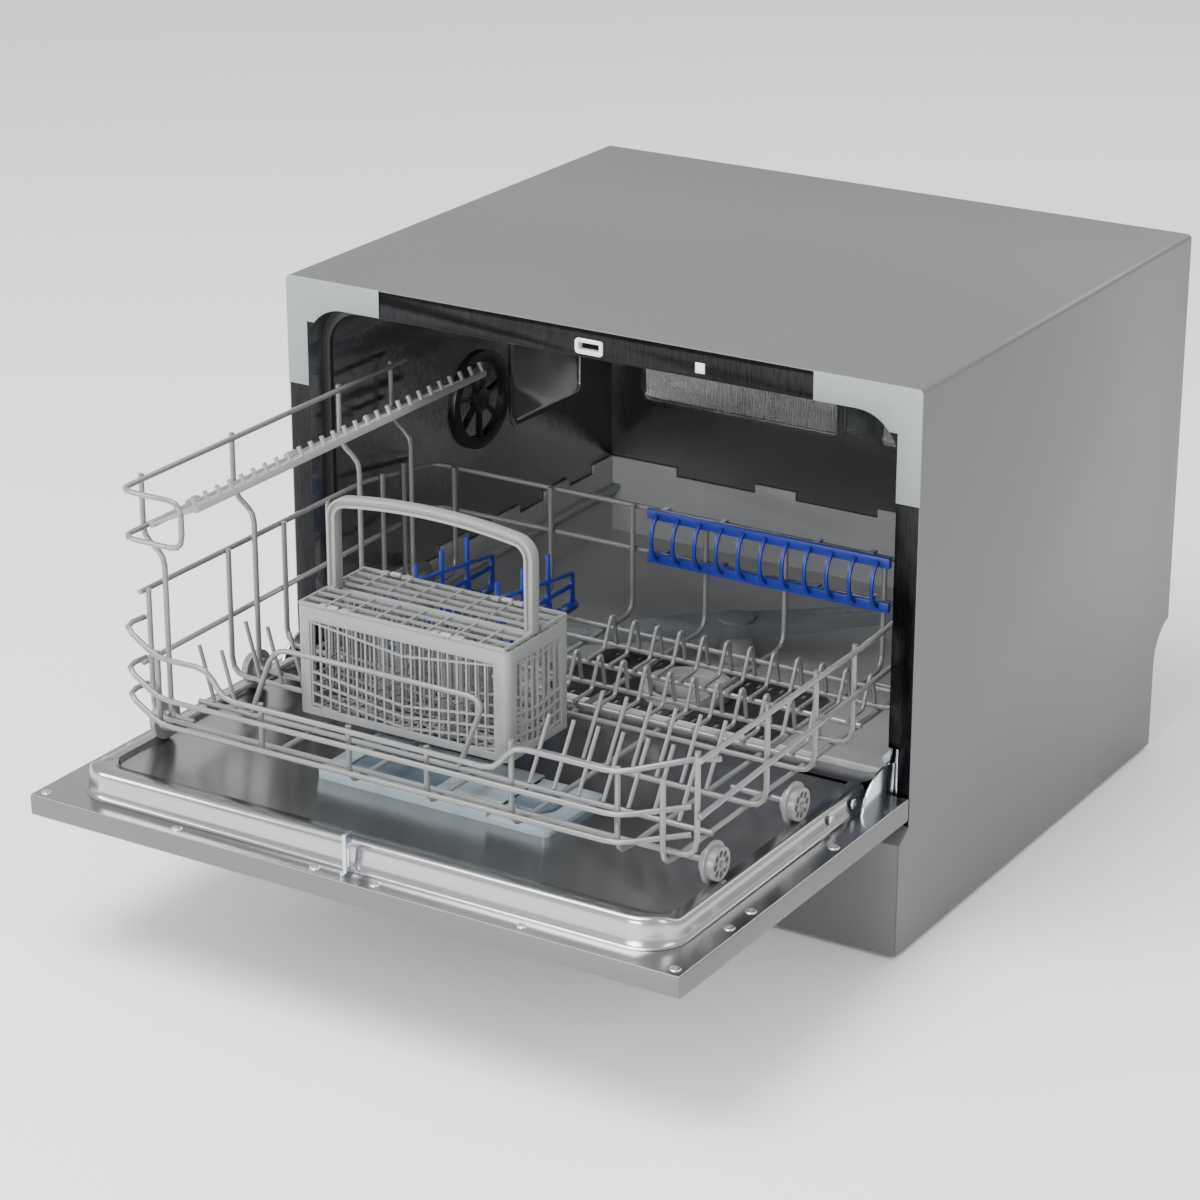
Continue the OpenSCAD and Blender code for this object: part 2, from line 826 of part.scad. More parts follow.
module mesh_filter() {
  slot_n = 21;
  t = base_t * 0.6;
  slot = mesh_w / slot_n;
  color([0.16, 0.16, 0.17])
  placed()
  difference() {
    translate([filter_x, filter_y, floor_z + seat_gap])
      linear_extrude(t)
        round_rect(-mesh_w / 2, -mesh_d / 2, mesh_w, mesh_d, mesh_d / 6);
    translate([filter_x, filter_y, 0])
      cylinder(r = filter_r + free_gap, h = cab_h);
    for (i = [1 : slot_n - 2], y = [-mesh_d * 0.44, mesh_d * 0.36])
      translate([filter_x - mesh_w / 2 + (i + 0.3) * slot, filter_y + y, floor_z])
        cube([slot * 0.4, mesh_d * 0.08, 2 * over]);
    translate([salt_x, salt_y, floor_z])
      cylinder(r = salt_r + free_gap, h = over);
  }
}

module sump() {
  r = filter_r + base_t + free_gap;
  h = floor_z - base_t - pump_z - 2 * over - 2 * seat_gap;
  color([0.3, 0.3, 0.31])
  placed()
  translate([filter_x, filter_y, floor_z - base_t - seat_gap - h]) {
    difference() {
      cylinder(r = r + 2 * base_t, h = h);
      translate([0, 0, base_t])
        cylinder(r = r, h = h);
      for (a = [0, 180])
        translate([0, 0, h * 0.35])
          rotate([0, 90, a])
            cylinder(r = drain_r, h = 2 * r);
    }
    translate([0, 0, -2 * over])
      cylinder(r = r / 2, h = 2 * over);
  }
}

// A small motor pump that lies along X on two feet: casing, volute and spigot
module motor_pump(r, l) {
  rotate([0, 90, 0])
    cylinder(r = r, h = l);
  translate([-l / 3 - seat_gap, 0, 0])
    rotate([0, 90, 0])
      cylinder(r = r * 1.2, h = l / 3);
  translate([-l / 3 - seat_gap - l / 6, 0, 0])
    rotate([0, 90, 0])
      cylinder(r = r * 0.4, h = l / 6);
  for (x = [l * 0.15, l * 0.7])
    translate([x, -r * 0.7, -r * 1.2])
      cube([l * 0.12, r * 1.4, r * 0.7]);
}

module wash_pump() {
  r = filter_r * 0.76;
  color([0.55, 0.56, 0.58])
  placed()
  translate([filter_x + 2.6 * filter_r, filter_y, pump_z + r * 1.2 + seat_gap])
    motor_pump(r, 2.6 * filter_r);
}

module drain_pump() {
  r = filter_r * 0.5;
  color([0.25, 0.25, 0.27])
  placed()
  translate([filter_x - 2.1 * filter_r, filter_y, pump_z + r * 1.2 + seat_gap])
    mirror([1, 0, 0])
      motor_pump(r, 1.3 * filter_r);
}

module flow_heater() {
  r = filter_r * 0.52;
  ring_r = r * 1.15;
  l = 3.6 * filter_r;
  color([0.7, 0.7, 0.72])
  placed()
  translate([filter_x + 1.2 * filter_r, filter_y + 3.4 * filter_r, pump_z + ring_r + seat_gap]) {
    rotate([0, 90, 0])
      difference() {
        cylinder(r = r, h = l);
        translate([0, 0, l - 2 * base_t])
          cylinder(r = r - base_t, h = 3 * base_t);
      }
    for (x = [l * 0.25, l * 0.75])
      translate([x, 0, 0])
        rotate([0, 90, 0])
          cylinder(r = ring_r, h = base_t);
  }
}

module softener() {
  w = 3 * salt_r;
  h = floor_z - base_t - pump_z - tray_t - 2 * seat_gap;
  color([0.88, 0.88, 0.86])
  placed()
  difference() {
    translate([salt_x, salt_y, pump_z + tray_t + seat_gap])
      linear_extrude(h)
        round_rect(-w / 2, -w / 2, w, 2 * w, salt_r / 2);
    translate([salt_x, salt_y, pump_z + 4 * tray_t])
      cylinder(r = salt_r - 2 * base_t, h = h);
  }
}

// A spigot that points out of the rear recess, with its flange
module spigot(x, r, l) {
  bore = r * 0.62;
  y0 = wall_y;
  translate([x, y0 + seat_gap, spigot_z])
    rotate([-90, 0, 0])
      difference() {
        union() {
          cylinder(r = r, h = l);
          cylinder(r = r * 1.35, h = base_t);
        }
        translate([0, 0, -over])
          cylinder(r = bore, h = l + 2 * over);
      }
}

module inlet_valve() {
  w = 3 * inlet_r;
  color([0.9, 0.9, 0.88])
  placed() {
    spigot(inlet_x(), inlet_r, inlet_len);
    difference() {
      translate([inlet_x() - w / 2, wall_y - rear_t - tray_t * 4 - w, pump_z + seat_gap])
        cube([w, w, spigot_z - pump_z + w / 2]);
      rod_y(wall_y - rear_t - tray_t * 4 - w / 2, wall_y, inlet_x(), spigot_z, inlet_r * 0.62);
    }
    rod_y(wall_y - rear_t - tray_t * 4 + seat_gap, wall_y - rear_t - tray_t - free_gap,
      inlet_x(), spigot_z, inlet_r * 0.9);
  }
}

module drain_outlet() {
  color([0.35, 0.36, 0.37])
  placed() {
    spigot(drain_x(), drain_r, drain_len);
    rod_y(wall_y - rear_t - 6 * tray_t, wall_y - rear_t - seat_gap, drain_x(), spigot_z, drain_r * 0.9);
  }
}

module cord_gland() {
  r = gland_r();
  color([0.09, 0.09, 0.1])
  placed()
  translate([gland_x(), wall_y + seat_gap, spigot_z])
    rotate([-90, 0, 0])
      difference() {
        union() {
          cylinder(r = r * 1.4, h = base_t);
          cylinder(r = r, h = 3 * base_t, $fn = 6);
        }
        cylinder(r = r * 0.4, h = 4 * base_t);
      }
}

// Quadrant of one hinge, by depth and height, centred on its pin
module quadrant_outline() {
  difference() {
    union() {
      intersection() {
        translate([-pivot_y, pivot_z])
          circle(quadrant_r);
        translate([-pivot_y - quadrant_r, pivot_z])
          square([quadrant_r + pivot_y * 1.4, quadrant_r]);
      }
      translate([-2.6 * quadrant_r, door_low + 2 * panel_t])
        square([2.6 * quadrant_r - pivot_y, door_t * 0.55]);
      translate([-pivot_y, pivot_z])
        circle(knuckle_r);
    }
    translate([-pivot_y, pivot_z])
      circle(pivot_r + run_gap);
  }
}

module hinge_arms() {
  color([0.78, 0.79, 0.82])
  placed()
  for (s = [0, 1])
    mirror([s, 0, 0])
      slab_x(hinge_x - hinge_t / 2, hinge_x + hinge_t / 2)
        quadrant_outline();
}

module hinge_brackets() {
  x0 = hinge_x + hinge_t / 2 + seat_gap * 2;
  deep = 4 * pivot_y;
  color([0.66, 0.67, 0.7])
  placed()
  for (s = [0, 1])
    mirror([s, 0, 0]) {
      slab_x(x0, x0 + hinge_t)
        union() {
          translate([-pivot_y, pivot_z])
            circle(knuckle_r);
          translate([-pivot_y, pivot_z - knuckle_r])
            square([deep, 2 * knuckle_r]);
          translate([steel_t * 4, kick_top + steel_t])
            square([deep - pivot_y, quadrant_r * 1.6]);
        }
      rod_x(hinge_x - 1.5 * hinge_t, x0 + seat_gap, -pivot_y, pivot_z, pivot_r);
    }
}

module arm_spindle() {
  color([0.36, 0.38, 0.39])
  placed()
  translate([0, arm_y, 0]) {
    translate([0, 0, floor_z - base_t * 4])
      cylinder(r = 2 * arm_pin_r - seat_gap, h = base_t * 4 + seat_gap);
    translate([0, 0, floor_z + seat_gap])
      cylinder(r = 3 * arm_pin_r, h = arm_z - floor_z - free_gap - seat_gap);
    translate([0, 0, arm_z - over])
      cylinder(r = arm_pin_r, h = arm_t + over);
  }
}

module door_panel() {
  l = door_len - door_gap;
  r = panel_t * 1.5;
  color([0.6, 0.6, 0.6])
  placed()
  difference() {
    slab_x(-half_w, half_w)
      difference() {
        round_rect(-door_len, door_low, l, pan_top + r - door_low, r);
        translate([-door_len - over, pan_top])
          square([door_len + over, 2 * r]);
      }
    translate([-half_w + panel_t, -door_len + panel_t, door_low + panel_t])
      cube([cab_w - 2 * panel_t, l - 2 * panel_t, door_t]);
    translate([-half_w + 4 * panel_t, fascia_y - fascia_d / 2, door_low - over])
      cube([cab_w - 8 * panel_t, fascia_d, 2 * over]);
    for (s = [-1, 1])
      translate([s * (hinge_x + hinge_t) - 2.5 * hinge_t, -door_gap - 2 * panel_t, door_low + panel_t])
        cube([5 * hinge_t, 3 * panel_t + door_gap, door_t]);
  }
}

module control_fascia() {
  w = cab_w - 8 * panel_t - 2 * seat_gap;
  d = fascia_d - 2 * seat_gap;
  gx = -half_w * 0.42;
  gy = fascia_d * 0.5;
  wx = half_w * 0.22;
  color([0.5, 0.5, 0.51])
  placed()
  translate([0, fascia_y, door_low])
    difference() {
      union() {
        translate([-w / 2, -d / 2, 0])
          cube([w, d, 1.5 * panel_t]);
        translate([gx - grip_w / 2 - panel_t, -gy / 2 - panel_t, 0])
          cube([grip_w + 2 * panel_t, gy + 2 * panel_t, grip_t + panel_t]);
      }
      translate([gx, 0, -over])
        linear_extrude(grip_t + over)
          round_rect(-grip_w / 2, -gy / 2, grip_w, gy, gy / 4);
      translate([wx - button_spacing, -d / 5, -over])
        cube([1.6 * button_spacing, d / 2.5, over + panel_t / 2]);
      for (i = [0 : 3])
        translate([button_x(i), 0, -over])
          cylinder(r = button_r + free_gap * 0.75, h = 2 * over + 2 * panel_t);
    }
}

function button_x(i) = half_w * 0.36 + i * button_spacing;

// One push button with its round cap, its collar behind the fascia and a stem
module push_button(i) {
  color([0.75, 0.75, 0.76])
  placed()
  translate([button_x(i), fascia_y, door_low]) {
    translate([0, 0, -button_out])
      cylinder(r = button_r, h = button_out + 2.6 * panel_t);
    translate([0, 0, 1.5 * panel_t + free_gap])
      cylinder(r = button_r * 1.25, h = panel_t / 2);
  }
}

module button_power() {
  push_button(0);
}

module button_program() {
  push_button(1);
}

module button_delay() {
  push_button(2);
}

module button_start() {
  push_button(3);
}

// The lip along the liner's free edge, drawn in on all sides by t
module liner_lip(t) {
  rim_y = -door_len + rim_front;
  rim_l = door_len - rim_front - rim_rear;
  low = rim_z - field_d;
  intersection() {
    translate([0, 0, low])
      linear_extrude(rim_h)
        round_rect(-rim_x + t, rim_y + t, 2 * (rim_x - t), rim_l - 2 * t, rim_r - t);
    slab_x(-rim_x, rim_x)
      polygon([[rim_y + t, low], [rim_y + t, rim_z + lip_h - t], [rim_y + field_in - t, rim_z + lip_h - t],
        [rim_y + field_in - t + lip_l, rim_z - t], [rim_y + field_in - t + lip_l, low]]);
  }
}

module door_liner() {
  t = steel_t;
  y0 = -door_len + seat_gap;
  rim_y = -door_len + rim_front;
  rim_l = door_len - rim_front - rim_rear;
  field_l = rim_l - field_in;
  color([0.78, 0.78, 0.77])
  placed()
  difference() {
    union() {
      translate([-half_w + seat_gap, y0, door_z - t])
        cube([cab_w - 2 * seat_gap, door_len - door_gap - seat_gap, t]);
      translate([0, 0, door_z - t])
        linear_extrude(rim_z - door_z + t)
          round_rect(-rim_x, rim_y, 2 * rim_x, rim_l, rim_r);
      liner_lip(0);
    }
    liner_lip(t);
    translate([0, 0, field_z])
      linear_extrude(rim_h + lip_h)
        union() {
          round_rect(-field_x, rim_y + field_in, 2 * field_x, field_l, rim_r / 2);
          translate([-field_x, rim_y + field_in + rim_r])
            square([2 * field_x, rim_l]);
        }
    translate([0, 0, door_z - 2 * t])
      linear_extrude(field_z - door_z + t)
        round_rect(-rim_x + t, rim_y + t, 2 * (rim_x - t), rim_l - 2 * t, rim_r - t);
    translate([0, 0, field_z - 2 * t])
      linear_extrude(field_d + t)
        difference() {
          round_rect(-rim_x + t, rim_y + t, 2 * (rim_x - t), rim_l - 2 * t, rim_r - t);
          round_rect(-field_x - t, rim_y + field_in - t, 2 * (field_x + t), field_l + t, rim_r / 2 + t);
          translate([-field_x - t, rim_y + field_in + rim_r])
            square([2 * (field_x + t), rim_l]);
        }
    for (s = [-1, 1])
      translate([s * (hinge_x + hinge_t) - 2.5 * hinge_t, -2 * quadrant_r * 0.7, door_z - 2 * t])
        cube([5 * hinge_t, 2 * quadrant_r, 2 * rim_h]);
    translate([-disp_w / 2 + 4 * t, -disp_y - disp_d / 2 + 4 * t, door_z])
      cube([disp_w - 8 * t, disp_d - 8 * t, 2 * rim_h]);
  }
}

module latch_hook() {
  t = hook_t;
  color([0.8, 0.8, 0.8])
  placed()
  slab_x(-t / 2, t / 2)
    difference() {
      union() {
        translate([hook_y - hook_w / 2, door_z + seat_gap])
          square([hook_w, t]);
        translate([hook_y - t, door_z + seat_gap])
          square([2 * t, hook_h - t]);
        translate([hook_y - t, door_z + hook_h - t])
          square([hook_w * 0.7, t]);
        translate([hook_y + hook_w * 0.7 - 2 * t, door_z + hook_h - 1.6 * t])
          circle(t);
      }
      translate([hook_y - t / 2, door_z + 2 * t])
        square([t, hook_h * 0.45]);
    }
}

module dispenser_body() {
  t = base_t;
  y0 = -disp_y;
  top = field_z + disp_t;
  floor_t = t * 0.8;
  color([0.62, 0.68, 0.71])
  placed()
  difference() {
    union() {
      translate([0, y0, field_z + seat_gap])
        linear_extrude(disp_t - seat_gap)
          round_rect(-disp_w / 2, -disp_d / 2, disp_w, disp_d, 2 * t);
      translate([-disp_w / 2 + 2 * t, y0 - disp_d / 2 + 2 * t, door_z + t])
        cube([disp_w - 4 * t, disp_d - 4 * t, field_z - door_z - t + seat_gap]);
    }
    translate([cup_x() - lid_w * 0.42, y0 - disp_d * 0.34, door_z + t + floor_t])
      cube([lid_w * 0.84, disp_d * 0.68, rim_h + disp_t]);
    translate([cup_x() - lid_w / 2 - free_gap, y0 - disp_d * 0.4 - free_gap, top - t])
      cube([disp_w, disp_d * 0.8 + 2 * free_gap, t - floor_t * 0.4]);
    translate([cup_x() - lid_w / 2 - free_gap, y0 - disp_d * 0.34, top - t])
      cube([lid_w + 2 * free_gap, disp_d * 0.68, 2 * t]);
    translate([disp_w * 0.34, y0, door_z + t + floor_t])
      cylinder(r = rinse_r * 0.7, h = rim_h + disp_t);
    translate([disp_w * 0.34 - rinse_r - t, y0 - disp_d / 2 - t, top - t * 1.1])
      cube([disp_w, disp_d + 2 * t, 2 * t]);
  }
}

function cup_x() = -disp_w * 0.23;

module dispenser_lid() {
  t = base_t;
  top = field_z + disp_t;
  color([0.45, 0.52, 0.56])
  placed() {
    translate([cup_x() - lid_w / 2, -disp_y - disp_d * 0.4, top - t + free_gap * 0.7])
      cube([lid_w, disp_d * 0.8, t * 0.4]);
    translate([cup_x() - lid_w * 0.46, -disp_y - disp_d * 0.3, top - t + free_gap * 0.7])
      cube([lid_w * 0.22, disp_d * 0.6, t * 0.9]);
  }
}

module rinse_cap() {
  t = base_t;
  top = field_z + disp_t;
  color([0.3, 0.36, 0.42])
  placed()
  translate([disp_w * 0.34, -disp_y, 0]) {
    translate([0, 0, top - t * 1.1 + seat_gap * 2])
      cylinder(r = rinse_r, h = t * 1.3);
    translate([0, 0, field_z - t])
      cylinder(r = rinse_r * 0.7 - free_gap, h = disp_t);
    translate([-rinse_r * 0.8, -t / 2, top + seat_gap])
      cube([rinse_r * 1.6, t, t * 0.9]);
  }
}

module door_screws() {
  r = hook_t;
  h = steel_t * 0.8;
  edge = half_w - 7.5 * steel_t;
  front = -door_len + 3 * hook_t;
  across_shares = [0.093, 0.535, 0.971];
  along_shares = [0.24, 0.33, 0.69];
  wall_shares = [0.76, 0.86];
  color([0.85, 0.85, 0.85])
  placed() {
    for (s = [-1, 1], x = across_shares)
      translate([s * x * half_w, front, door_z + seat_gap])
        cylinder(r = r, h = h);
    for (s = [-1, 1], y = along_shares)
      translate([s * edge, -door_len * (1 - y), door_z + seat_gap])
        cylinder(r = r, h = h);
    for (s = [0, 1], y = wall_shares)
      mirror([s, 0, 0])
        rod_x(rim_x + seat_gap, rim_x + seat_gap + h, -door_len * (1 - y), door_z + rim_h * 0.55, r);
  }
}

// Plan of one blade of the spray arm
module blade() {
  waist = 3.4 * arm_pin_r;
  polygon([[0, -waist], [arm_r * 0.24, -waist * 1.1], [arm_r * 0.46, -waist * 0.7],
    [arm_r - waist / 2, -waist * 0.42], [arm_r - waist / 2, waist * 0.42], [arm_r * 0.3, waist * 0.72],
    [0, waist]]);
  translate([arm_r - waist / 2, 0])
    circle(waist * 0.42);
}

module spray_arm() {
  jet_n = 5;
  color([0.46, 0.5, 0.52])
  placed()
  translate([0, arm_y, arm_z])
    rotate([0, 0, arm_turn])
      difference() {
        union() {
          linear_extrude(arm_t)
            union() {
              blade();
              rotate([0, 0, 180])
                blade();
              circle(4 * arm_pin_r);
            }
          cylinder(r = 3 * arm_pin_r, h = arm_t + base_t);
        }
        translate([0, 0, -over])
          cylinder(r = arm_pin_r + run_gap, h = arm_t + over + free_gap);
        for (s = [0, 180], i = [1 : jet_n])
          rotate([0, 0, s])
            translate([arm_r * (0.2 + 0.15 * i), 0, arm_t - base_t])
              cylinder(r = base_t * 0.7, h = 2 * base_t);
      }
}

module filter_cup() {
  t = base_t;
  top = floor_z + 4 * t;
  slot_n = 12;
  color([0.5, 0.52, 0.53])
  placed()
  translate([filter_x, filter_y, 0]) {
    difference() {
      translate([0, 0, floor_z + 0.6 * t + 3 * seat_gap])
        cylinder(r = filter_r + t, h = top - floor_z - 0.6 * t - 3 * seat_gap);
      translate([0, 0, floor_z])
        cylinder(r = filter_r - t, h = cab_h);
    }
    difference() {
      translate([0, 0, floor_z - filter_r])
        cylinder(r = filter_r - t, h = filter_r + 2 * t);
      translate([0, 0, floor_z - filter_r + t])
        cylinder(r = filter_r - 2 * t, h = cab_h);
      for (i = [0 : slot_n - 1])
        rotate([0, 0, i * 360 / slot_n])
          translate([filter_r - 4 * t, -t / 2, floor_z - filter_r + 2 * t])
            cube([4 * t, t, filter_r - 3 * t]);
    }
    translate([-filter_r + t, -t, floor_z - t])
      cube([2 * (filter_r - t), 2 * t, 4 * t]);
  }
}

module salt_cap() {
  t = base_t;
  color([0.62, 0.66, 0.68])
  placed()
  translate([salt_x, salt_y, floor_z + seat_gap * 2]) {
    cylinder(r = salt_r, h = 2 * t);
    translate([0, 0, -5 * t])
      cylinder(r = salt_r - 2 * t - free_gap, h = 5 * t + seat_gap);
    translate([-salt_r * 0.7, -t, 2 * t - seat_gap])
      cube([salt_r * 1.4, 2 * t, 2 * t]);
  }
}

// Path of a cross wire: down the left side, over the floor and up the right side
function cross_path(y) = eased([[-post_x, y, left_zs[1] + wire_r], [-post_x, y, cross_z],
  [post_x, y, cross_z], [post_x, y, right_zs[1] + wire_r]], bend_r, 3);

// Height of the front upper wire above a place across the rack, low between the ends of its dip
function front_at(x) = (x > dip_xs[1] && x < dip_xs[2]) ? front_zs[2] : front_zs[3];

// Path of a long wire: up the front, back over the floor and up the rear
function long_path(x) = eased([[x, front_leg, front_at(x) + wire_r], [x, front_leg, long_z],
  [x, rear_leg, long_z], [x, rear_leg, rear_zs[1] + wire_r]], bend_r, 3);

module rack_frame() {
  fore = rack_y(fore_share) - 2 * wire_r;
  corner = bend_r * 2;
  lift = lift_share * (gallery_top - cross_z);
  y0 = -rack_front;
  right_top = right_zs[1] - wire_r;
  front_top = front_zs[3];
  upper = [[-side_x, fore, left_zs[1]], [-side_x, rack_rear * 0.3, left_zs[1]],
    [-side_x, rack_rear, rear_zs[1]], [side_x, rack_rear, rear_zs[1]],
    [side_x, 0, right_zs[1]], [side_x, fore, right_top]];
  lower = [[-side_x, fore, left_zs[0]], [-side_x, rack_rear, rear_zs[0]],
    [side_x, rack_rear, rear_zs[0]], [side_x, fore, right_zs[0]]];
  front_a = [[-side_x - wire_r, fore + 3 * wire_r, front_top + lift],
    [-side_x - 2 * wire_r, y0, front_top + lift], [-side_x + corner, y0 - wire_r, front_top],
    [dip_xs[0], y0, front_top], [dip_xs[1], y0, front_zs[2]],
    [dip_xs[2], y0, front_zs[2]], [dip_xs[3], y0, front_top],
    [side_x - 2 * corner, y0, front_top], [side_x - corner / 2, y0 + corner, front_top + lift / 2],
    [side_x, fore + corner, right_top - lift / 2]];
  color([0.72, 0.72, 0.71])
  placed() {
    bent_wire(eased(upper, bend_r, 3), wire_r, wire_sides);
    bent_wire(eased(lower, bend_r, 3), wire_r, wire_sides);
    bent_wire(eased(front_a, bend_r * 0.7, 2), wire_r, wire_sides);
    for (z = [front_zs[1], front_zs[0]])
      bent_wire(eased([[-side_x - wire_r, fore + 3 * wire_r, z + lift],
        [-side_x - 2 * wire_r, y0, z + lift], [-side_x + corner, y0 - wire_r, z],
        [side_x - 2 * corner, y0, z], [side_x - corner / 2, y0 + corner, z + lift / 3]],
        bend_r * 0.7, 2), wire_r, wire_sides);
    for (y = cross_ys)
      bent_wire(cross_path(y), wire_r, wire_sides);
    for (x = long_xs)
      bent_wire(long_path(x), wire_r, wire_sides);
    for (s = [0, 1], y = wheel_ys)
      mirror([s, 0, 0])
        rod_x(axle_end - axle_l, axle_end, y, axle_z, wire_r);
  }
}

module rack_floor() {
  a = long_xs[0] - bend_r / 2;
  b = -a;
  rail_x0 = post_x * loop_shares[0] - tine_spacing;
  loop = [[basket_x - basket_w * 0.66, carrier_y, cross_z + wire_r + seat_gap],
    [basket_x - basket_w * 0.54, carrier_y, keeper_top],
    [basket_x + basket_w * 0.46, carrier_y, keeper_top],
    [basket_x + basket_w * 0.34, carrier_y, cross_z + wire_r + seat_gap]];
  color([0.7, 0.7, 0.69])
  placed() {
    straight_wire([a, carrier_y, cross_z], [b, carrier_y, cross_z], wire_r);
    for (y = rail_ys)
      straight_wire([rail_x0, y, cross_z], [b, y, cross_z], wire_r);
    for (x = comb_xs)
      straight_wire([x, comb_y - comb_l / 2 - 2 * bend_r, pivot_wire_z],
        [x, comb_y + comb_l / 2 + bend_r / 2, pivot_wire_z], wire_r);
    bent_wire(eased(loop, bend_r, 3), wire_r, wire_sides);
  }
}

module rack_gallery() {
  x0 = gallery_x;
  x1 = gallery_x + gallery_loop;
  y0 = -rack_front - 2 * wire_r;
  y1 = gallery_ys[3] + bend_r;
  rail = [[x0, y1, gallery_top], [x0, y0, gallery_top], [x1, y0, gallery_top], [x1, y0, gallery_low],
    [x0, y0, gallery_low], [x0, y1, gallery_low]];
  outer = x0 - 2 * wire_r - seat_gap;
  foot_x = -post_x + 2 * wire_r + seat_gap;
  color([0.72, 0.72, 0.71])
  placed() {
    bent_wire(eased(rail, bend_r * 0.8, 3), wire_r, wire_sides);
    for (y = gallery_ys)
      bent_wire(eased([[outer, y, gallery_top + wire_r], [outer, y, gallery_low - 4 * wire_r],
        [foot_x + bend_r / 2, y, gallery_low - 4 * wire_r - bend_r],
        [foot_x + bend_r / 2, y, long_z + wire_r * 2],
        [foot_x + 2 * bend_r, y, cross_z]], bend_r / 2, 2), wire_r, wire_sides);
  }
}

// One looped tine: it lies on its rail, rises to a narrow tip and drops to the cross wire
module looped_tine(x, rail_y, cross_y) {
  path = [[x, rail_y - 2 * wire_r, tine_z], [x, cross_y - loop_w, tine_z],
    [x, cross_y - loop_w / 2, loop_top], [x, cross_y - free_gap, cross_z + wire_r + free_gap]];
  bent_wire(eased(path, loop_w / 2, 2), tine_r, tine_sides);
}

module looped_tines() {
  rear_n = 12;
  fore_n = 11;
  color([0.74, 0.74, 0.73])
  placed() {
    for (i = [0 : rear_n - 1])
      looped_tine(post_x * loop_shares[0] + i * tine_spacing, rail_ys[0], cross_ys[4]);
    for (i = [0 : fore_n - 1])
      looped_tine(post_x * loop_shares[1] + i * tine_spacing, rail_ys[1], cross_ys[3]);
  }
}

// A row of n straight tines that stand on a cross wire and lean one way
module tine_row(x0, y, n, lean) {
  foot_z = cross_z + wire_r + free_gap;
  for (i = [0 : n - 1])
    straight_wire([x0 + i * tine_spacing, y, foot_z], [x0 + i * tine_spacing, y, foot_z] + lean, tine_r);
}

module slanted_tines() {
  right_n = 7;
  left_n = 2;
  color([0.74, 0.74, 0.73])
  placed() {
    tine_row(post_x * lean_shares[0], carrier_y, right_n, [0, tine_back, tine_up]);
    tine_row(post_x * lean_shares[1], cross_ys[1], right_n - 1, [0, tine_back, tine_up]);
    tine_row(post_x * left_tine_shares[0], carrier_y, left_n, [-tine_side, 0, tine_up]);
    tine_row(post_x * left_tine_shares[1], cross_ys[1], left_n + 1, [-tine_side, 0, tine_up]);
  }
}

// One rack wheel, drawn for the right side: hub, inner flange and spoked tread
module rack_wheel(s, y) {
  x0 = side_x - hub_w + wire_r;
  hole_r = tread_r * 0.2;
  color([0.6, 0.61, 0.6])
  placed()
  mirror([s > 0 ? 0 : 1, 0, 0])
    translate([x0 - flange_w - hub_w + tread_w * 0.5, y, axle_z])
      rotate([0, 90, 0])
        difference() {
          union() {
            cylinder(r = hub_r, h = hub_w + seat_gap);
            translate([0, 0, hub_w])
              cylinder(r = collar_r, h = flange_w);
            translate([0, 0, hub_w + flange_w - seat_gap])
              cylinder(r = tread_r, h = tread_w);
          }
          translate([0, 0, -over])
            cylinder(r = wire_r + run_gap, h = 4 * tread_w + over);
          for (i = [0 : spokes - 1])
            rotate([0, 0, i * 360 / spokes])
              translate([tread_r * 0.62, 0, hub_w + flange_w])
                cylinder(r = hole_r, h = 2 * tread_w);
        }
}

module wheel_left_front() {
  rack_wheel(-1, wheel_ys[0]);
}

module wheel_left_mid() {
  rack_wheel(-1, wheel_ys[1]);
}

module wheel_left_rear() {
  rack_wheel(-1, wheel_ys[2]);
}

module wheel_right_front() {
  rack_wheel(1, wheel_ys[0]);
}

module wheel_right_mid() {
  rack_wheel(1, wheel_ys[1]);
}

module wheel_right_rear() {
  rack_wheel(1, wheel_ys[2]);
}

module rail_clip() {
  x0 = post_x * clip_share - clip_l / 2;
  y0 = rear_leg - wire_r - free_gap;
  t = wire_r * 2;
  z_up = rear_zs[1];
  z_low = rear_zs[0];
  mid = (z_up + z_low) / 2;
  arc_r = (z_up - z_low) / 2 + t * 0.4;
  tab_shares = [0.045, 0.29, 0.68, 0.9];
  step = clip_l / clip_ribs;
  color([0.16, 0.24, 0.72])
  placed() {
    for (z = [z_up, z_low])
      translate([x0, y0 - t, z - t * 0.9])
        cube([clip_l, t, t * 1.8]);
    for (i = [0 : clip_ribs - 1])
      intersection() {
        slab_x(x0 + (i + 0.5) * step - rib_w / 2, x0 + (i + 0.5) * step + rib_w / 2)
          translate([y0 - t / 2, mid])
            scale([clip_out / arc_r, 1])
              difference() {
                circle(arc_r);
                circle(arc_r - rib_w);
              }
        translate([x0, y0 - t / 2 - 2 * clip_out, z_low - t])
          cube([clip_l, 2 * clip_out, z_up - z_low + 2 * t]);
      }
    for (i = tab_shares, z = [z_up, z_low])
      translate([x0 + i * clip_l, y0 - seat_gap, z + wire_r + seat_gap * 2])
        cube([rib_w * 1.5, rack_rear - y0 + wire_r, rib_w / 2]);
  }
}

